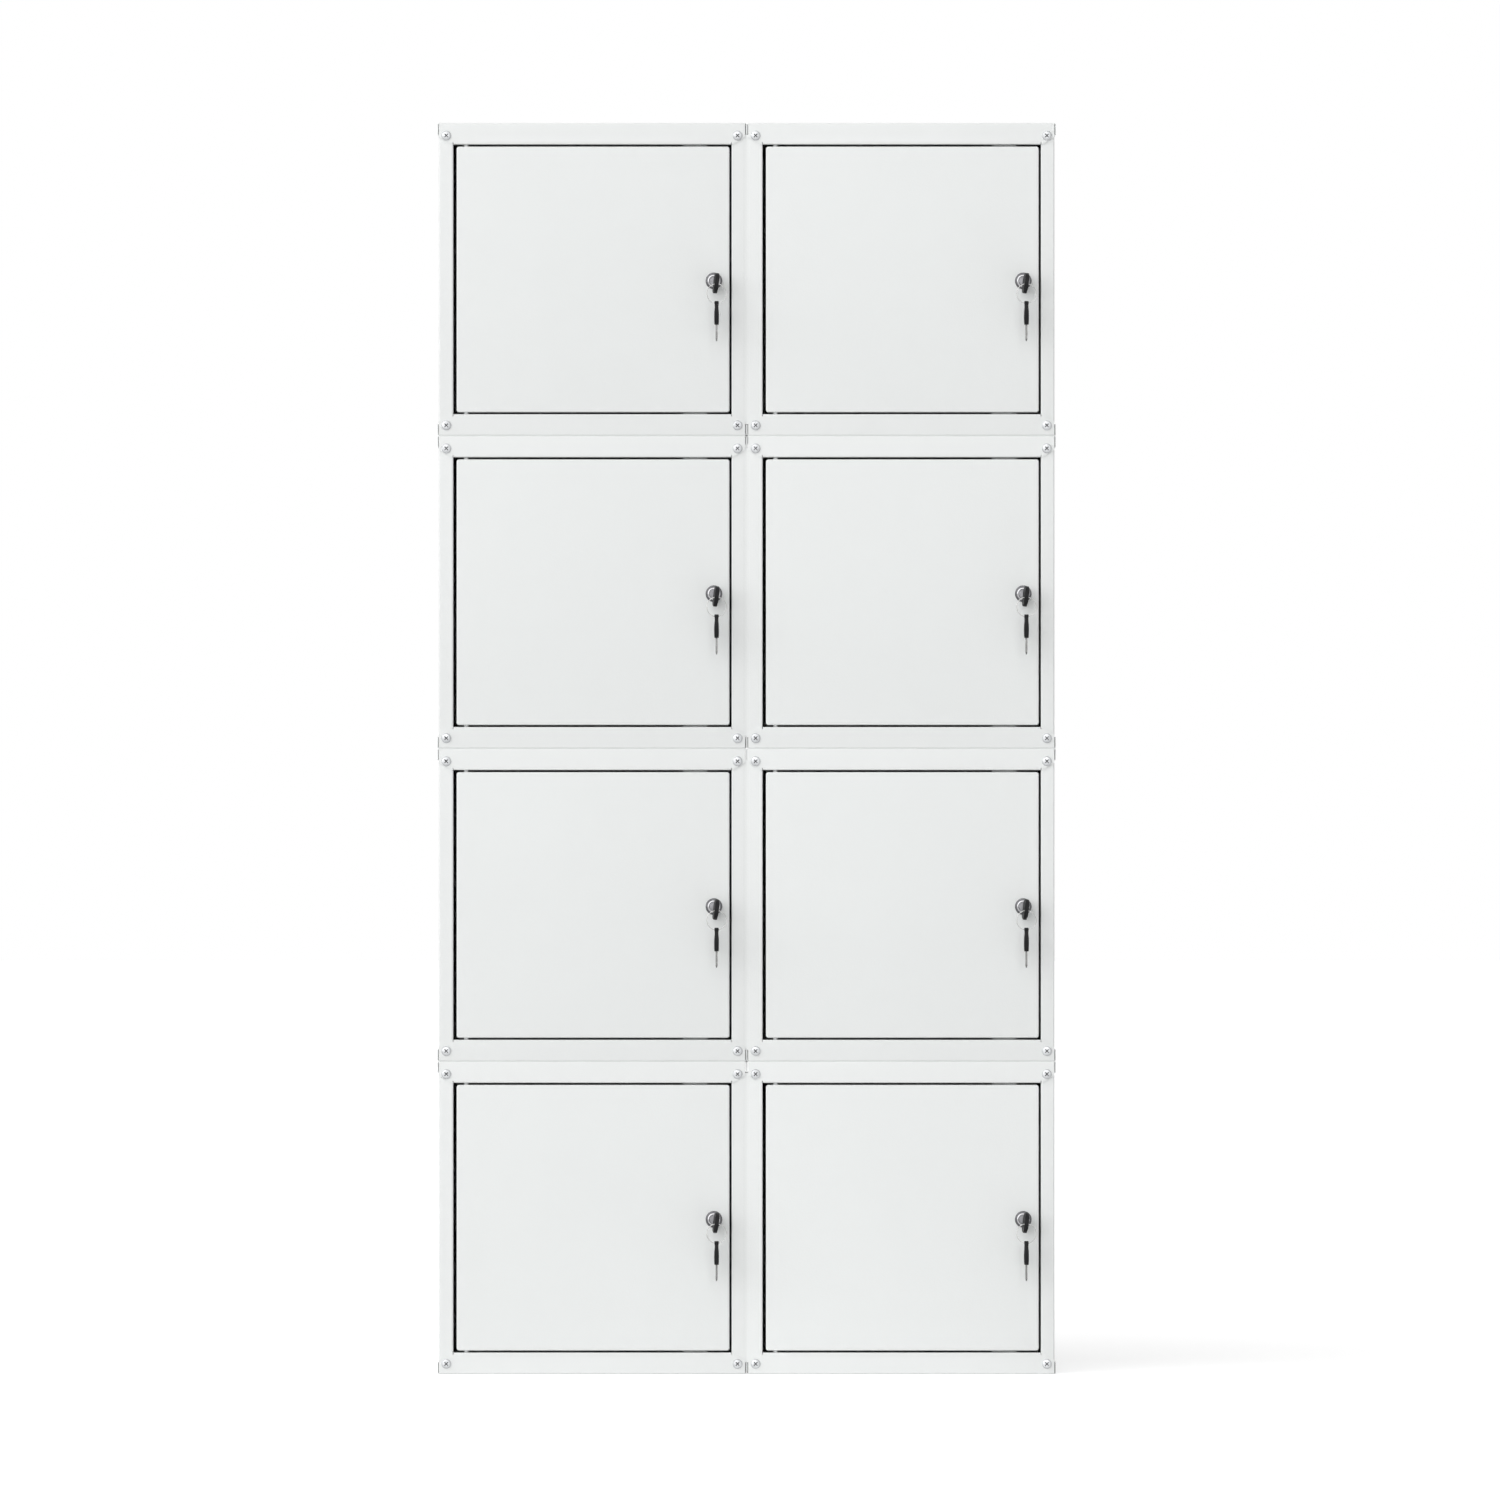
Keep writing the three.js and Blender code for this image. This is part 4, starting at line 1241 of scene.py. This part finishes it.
class LOCKER_OT_locks(bpy.types.Operator):
    """Makes the cam locks: bezel, threaded body, nut, plug, cam and cam screw"""
    bl_idname = "locker.locks"
    bl_label = "Cam locks"
    bl_options = {"REGISTER", "UNDO"}

    def execute(self, context):
        case, _, lock, keys, gear, at = settings()
        bezel = coat(model_bezel(lock, at), bezel_chrome(), bezel_painted_reflection())
        copies(bezel, "lock_bezel", "door_{}", stands_for="lock_barrel")
        body = coat(model_lock_body(case, lock, at), bright_zinc())
        copies(body, "lock_body", "door_{}")
        nut = coat(model_hex_nut("nut", lock.nut, lock.nut_height, lock.barrel), bright_zinc())
        placed(nut, (at.lock_x, at.front + case.sheet, at.lock_z))
        copies(nut, "lock_nut", "door_{}")
        plug = coat(model_plug(case, lock, keys, at), cast_plug())
        copies(plug, "lock_plug", "lock_{}", stands_for="keyed_plug")
        cam = coat(model_cam(lock, at), bright_zinc())
        copies(cam, "lock_cam", "lock_{}")
        cam_back = at.cam + lock.cam_thickness
        washer = model_washer("washer", WASHER_SHARE * lock.cam_screw, case.sheet, lock.cam_screw / 2)
        placed(washer, (at.lock_x, cam_back, at.lock_z))
        copies(coat(washer, bright_zinc()), "cam_washer", "lock_{}")
        screw = model_pan_screw("screw", gear, lock.cam_screw, lock.cam_screw_height - case.sheet,
                                lock.cam_screw / 2, case.sheet, sides=32)
        placed(screw, (at.lock_x, cam_back + case.sheet, at.lock_z), (0, 0, math.pi))
        copies(screw, "cam_screw", "lock_{}")
        return {"FINISHED"}


class LOCKER_OT_keys(bpy.types.Operator):
    """Moulds the key in each lock and the spare key on its wire ring"""
    bl_idname = "locker.keys"
    bl_label = "Keys and rings"
    bl_options = {"REGISTER", "UNDO"}

    def execute(self, context):
        _, _, _, keys, _, at = settings()
        in_lock = [
            ((0, at.key_base - keys.lean_depth, -keys.head_drop), (RIGHT_ANGLE, 0, 0)),
            ((keys.aside, 0, 0), (0, 0, keys.lean)),
            ((at.lock_x, keys.lean_depth, at.lock_z), (0, keys.turn, 0)),
        ]
        hanging = [((at.ring_x, at.ring_y, at.spare_base), (0, 0, 0))]
        for prefix, moves, body, node_name in (("key", in_lock, "lock_{}", None),
                                               ("spare", hanging, "spare_key_{}", "spare_key")):
            head = coat(model_key_head(keys), key_nylon())
            blade = coat(model_key_blade(keys), blade_nickel())
            for location, turn in moves:
                placed(head, location, turn)
                placed(blade, location, turn)
            copies(head, f"{prefix}_head", body, stands_for=node_name)
            copies(blade, f"{prefix}_blade", body)
        ring = placed(model_ring(keys), (at.ring_x, at.ring_y, at.ring_top - keys.ring))
        copies(coat(ring, wire_nickel()), "key_ring", "spare_key_{}")
        return {"FINISHED"}


class LOCKER_OT_corner_screws(bpy.types.Operator):
    """Sets the four screws that fix the rails of every cube"""
    bl_idname = "locker.corner_screws"
    bl_label = "Corner screws"
    bl_options = {"REGISTER", "UNDO"}

    def execute(self, context):
        case, _, _, _, gear, at = settings()
        corners = [(x, z) for z in (at.height - gear.screw_drop, gear.screw_rise)
                   for x in (gear.screw_side, at.width - gear.screw_side)]
        for order, (x, z) in enumerate(corners, 1):
            screw = model_pan_screw("screw", gear, gear.screw, gear.screw_height,
                                    SHANK_SHARE * gear.bolt, 3 * case.sheet)
            placed(screw, (x, 0, z))
            copies(screw, f"corner_screw_{order}", "root")
        return {"FINISHED"}


class LOCKER_OT_joining_bolts(bpy.types.Operator):
    """Joins the columns and the rows with bolts, fills their seams and caps the unused holes"""
    bl_idname = "locker.joining_bolts"
    bl_label = "Joining bolts and caps"
    bl_options = {"REGISTER", "UNDO"}

    def execute(self, context):
        case, _, _, _, gear, at = settings()
        self.join_columns(case, gear, at)
        self.join_rows(case, gear, at)
        self.cap_holes(case, gear, at)
        return {"FINISHED"}

    def bolt_and_nut(self, case, gear, grip, sides):
        """A bolt that goes through the grip, and its nut."""
        bolt = model_pan_screw("bolt", gear, gear.bolt_head, gear.bolt_head_height, gear.bolt,
                               grip + gear.nut_height + case.sheet, sides)
        return bolt, coat(model_hex_nut("nut", gear.nut, gear.nut_height, gear.bolt), bright_zinc())

    def join_columns(self, case, gear, at):
        """A bolt and a nut through the facing walls of each row, and a strip in the seam."""
        height = at.height / 2
        seam = (corner_of(2).x - corner_of(1).x - at.width) / 2
        wall = seam + at.side + case.sheet
        lefts = CUBES[::COLUMNS]
        bolt, nut = self.bolt_and_nut(case, gear, 2 * wall, sides=40)
        placed(bolt, (at.width + seam - wall, gear.bolt_depth, height), (0, 0, -RIGHT_ANGLE))
        placed(nut, (at.width + seam + wall, gear.bolt_depth, height), (0, 0, -RIGHT_ANGLE))
        strip = coat(model_seam_strip(case, gear, at, seam), cabinet_paint())
        bolts = copies(bolt, "column_bolt", "root", lefts)
        copies(strip, "seam_strip", "root", lefts)
        copies(nut, "column_nut", "root", lefts)
        for row, piece in enumerate(bolts, 1):
            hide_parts(f"joining_bolt_{row}")

    def join_rows(self, case, gear, at):
        """Four bolts through the floor of each cube that stands on another."""
        uppers = CUBES[:-COLUMNS]
        gap = corner_of(1).z - corner_of(1 + COLUMNS).z - at.height
        grip = 2 * case.sheet + gap
        spots = [(x, y) for y in (gear.bolt_depth, case.depth - gear.bolt_depth)
                 for x in (gear.bolt_depth, at.width - gear.bolt_depth)]
        for order, (x, y) in enumerate(spots, 1):
            bolt, nut = self.bolt_and_nut(case, gear, grip, sides=32)
            placed(bolt, (x, y, case.sheet), (-RIGHT_ANGLE, 0, 0))
            placed(nut, (x, y, case.sheet - grip), (-RIGHT_ANGLE, 0, 0))
            copies(bolt, f"row_bolt_{order}", "root", uppers)
            copies(nut, f"row_nut_{order}", "root", uppers)
        depth = BEAD_DEPTH_SHARE * case.bend
        radius = math.hypot(case.bend - depth, case.bend + gap / 2) - case.bend
        bead = turned("bead", "X", (0, depth, -gap / 2),
                      [(case.bend, radius), (at.width - case.bend, radius)], sides=16)
        copies(coat(smooth(bead), cabinet_paint()), "seam_bead", "root", uppers)

    def cap_holes(self, case, gear, at):
        """A plastic cap in each outer wall's unused bolt hole."""
        profile = [(out * gear.plug_height, across * gear.plug) for out, across in CAP_SHARES]
        profile += [(0, gear.bolt), (2 * case.sheet, gear.bolt)]
        for x, turn, numbers in ((at.side, -RIGHT_ANGLE, CUBES[::COLUMNS]),
                                 (at.width - at.side, RIGHT_ANGLE, CUBES[COLUMNS - 1::COLUMNS])):
            cap = turned("cap", "Y", (0, 0, 0), profile, sides=32)
            placed(smooth(cap), (x, gear.bolt_depth, at.height / 2), (0, 0, turn))
            copies(coat(cap, pale_plastic()), "hole_cap", "root", numbers)


class LOCKER_OT_stage(bpy.types.Operator):
    """Sets the camera, the even light, the large soft lamp and the pale floor"""
    bl_idname = "locker.stage"
    bl_label = "Studio"
    bl_options = {"REGISTER", "UNDO"}

    def execute(self, context):
        scene, studio = context.scene, context.scene.locker_studio
        scene.view_settings.view_transform = "Standard"
        low, high = CAD_BOUNDS
        centre = (low + high) / 2
        front = corner_of(1).y
        self.set_camera(scene, studio, centre, front)
        self.set_lamp(scene, studio)
        self.set_sky(scene, studio)
        self.set_floor(studio)
        return {"FINISHED"}

    def set_camera(self, scene, studio, centre, front):
        camera = bpy.data.objects.new("camera", bpy.data.cameras.new("camera"))
        camera.data.lens = studio.lens
        distance = studio.view_width * studio.lens / camera.data.sensor_width
        camera.data.clip_end = 4 * distance
        camera.location = (centre.x + studio.aim_right, front - distance, centre.z - studio.aim_down)
        camera.rotation_euler = (RIGHT_ANGLE, 0, 0)
        scene.collection.objects.link(camera)
        scene.camera = camera

    def set_lamp(self, scene, studio):
        """A broad far lamp, even over the whole bank."""
        lamp = bpy.data.objects.new("soft lamp", bpy.data.lights.new("soft lamp", "SUN"))
        lamp.data.energy = studio.lamp_strength
        lamp.data.angle = studio.lamp_width
        turn, rise = studio.lamp_azimuth, studio.lamp_elevation
        level = math.cos(rise)
        away = Vector((-math.sin(turn) * level, -math.cos(turn) * level, math.sin(rise)))
        lamp.rotation_euler = away.to_track_quat("Z", "Y").to_euler()
        scene.collection.objects.link(lamp)

    def set_sky(self, scene, studio):
        """Even light on the object, and plain white for the camera and for reflections."""
        scene.world = bpy.data.worlds.new("studio")
        scene.world.use_nodes = True
        tree = scene.world.node_tree
        tree.nodes.clear()
        light = node(tree, "ShaderNodeBackground", Color=WHITE, Strength=studio.sky).outputs[0]
        seen = node(tree, "ShaderNodeBackground", Color=WHITE, Strength=1.0).outputs[0]
        mix = node(tree, "ShaderNodeMixShader", seen_directly(tree), light, seen)
        node(tree, "ShaderNodeOutputWorld", Surface=mix.outputs[0])

    def set_floor(self, studio):
        """A pale floor that keeps its shade and still reads as white from the camera."""
        floor = started("studio_floor", bpy.ops.mesh.primitive_circle_add, vertices=128,
                        radius=studio.floor_radius, fill_type="NGON")
        coat(floor, self.floor_material(studio))

    def floor_material(self, studio):
        material = bpy.data.materials.new("studio floor")
        material.use_nodes = True
        tree = material.node_tree
        tree.nodes.clear()
        where = node(tree, "ShaderNodeTexCoord").outputs["Object"]
        tone = spread(tree, noise_field(tree, where, FLOOR_SIZE, detail=3), *FLOOR_RANGE)
        matt = node(tree, "ShaderNodeBsdfDiffuse", Color=tone).outputs[0]
        amount = spread(tree, seen_directly(tree), 0, studio.floor_glow, start=0, end=1)
        glow = node(tree, "ShaderNodeEmission", Color=WHITE, Strength=amount).outputs[0]
        both = node(tree, "ShaderNodeAddShader", matt, glow)
        node(tree, "ShaderNodeOutputMaterial", Surface=both.outputs[0])
        return material


def seen_directly(tree):
    """One where the camera looks, straight or in a mirror or through glass, and zero elsewhere."""
    path = tree.nodes.new("ShaderNodeLightPath")
    total = path.outputs["Is Camera Ray"]
    for label in ("Is Glossy Ray", "Is Transmission Ray"):
        total = combined(tree, "MAXIMUM", total, path.outputs[label])
    return total


class LOCKER_PT_bank(bpy.types.Panel):
    """Lists the steps and the sizes of the locker bank"""
    bl_label = "Cube locker bank"
    bl_idname = "LOCKER_PT_bank"
    bl_space_type = "VIEW_3D"
    bl_region_type = "UI"
    bl_category = "Lockers"

    def draw(self, context):
        for step in STEPS:
            self.layout.operator(step.bl_idname)
        for key, (title, _) in GROUPS.items():
            box = self.layout.box()
            box.label(text=title)
            group = getattr(context.scene, key)
            for label in group.bl_rna.properties.keys():
                if label not in {"rna_type", "name"}:
                    box.prop(group, label)


GROUPS = {
    "locker_case": ("Case", LOCKER_PG_case),
    "locker_door": ("Door", LOCKER_PG_door),
    "locker_lock": ("Lock", LOCKER_PG_lock),
    "locker_keys": ("Keys", LOCKER_PG_keys),
    "locker_fasteners": ("Fasteners", LOCKER_PG_fasteners),
    "locker_finish": ("Finish", LOCKER_PG_finish),
    "locker_studio": ("Studio", LOCKER_PG_studio),
}
STEPS = (LOCKER_OT_stage, LOCKER_OT_case_wraps, LOCKER_OT_rail_panels, LOCKER_OT_doors, LOCKER_OT_locks,
         LOCKER_OT_keys, LOCKER_OT_corner_screws, LOCKER_OT_joining_bolts)


def register():
    for key, (_, group) in GROUPS.items():
        bpy.utils.register_class(group)
        setattr(bpy.types.Scene, key, PointerProperty(type=group))
    for step in (*STEPS, LOCKER_PT_bank):
        bpy.utils.register_class(step)


def unregister():
    for step in reversed((*STEPS, LOCKER_PT_bank)):
        bpy.utils.unregister_class(step)
    for key, (_, group) in reversed(GROUPS.items()):
        delattr(bpy.types.Scene, key)
        bpy.utils.unregister_class(group)


def main():
    register()
    for step in STEPS:
        family, name = step.bl_idname.split(".")
        getattr(getattr(bpy.ops, family), name)()


if __name__ == "__main__":
    main()
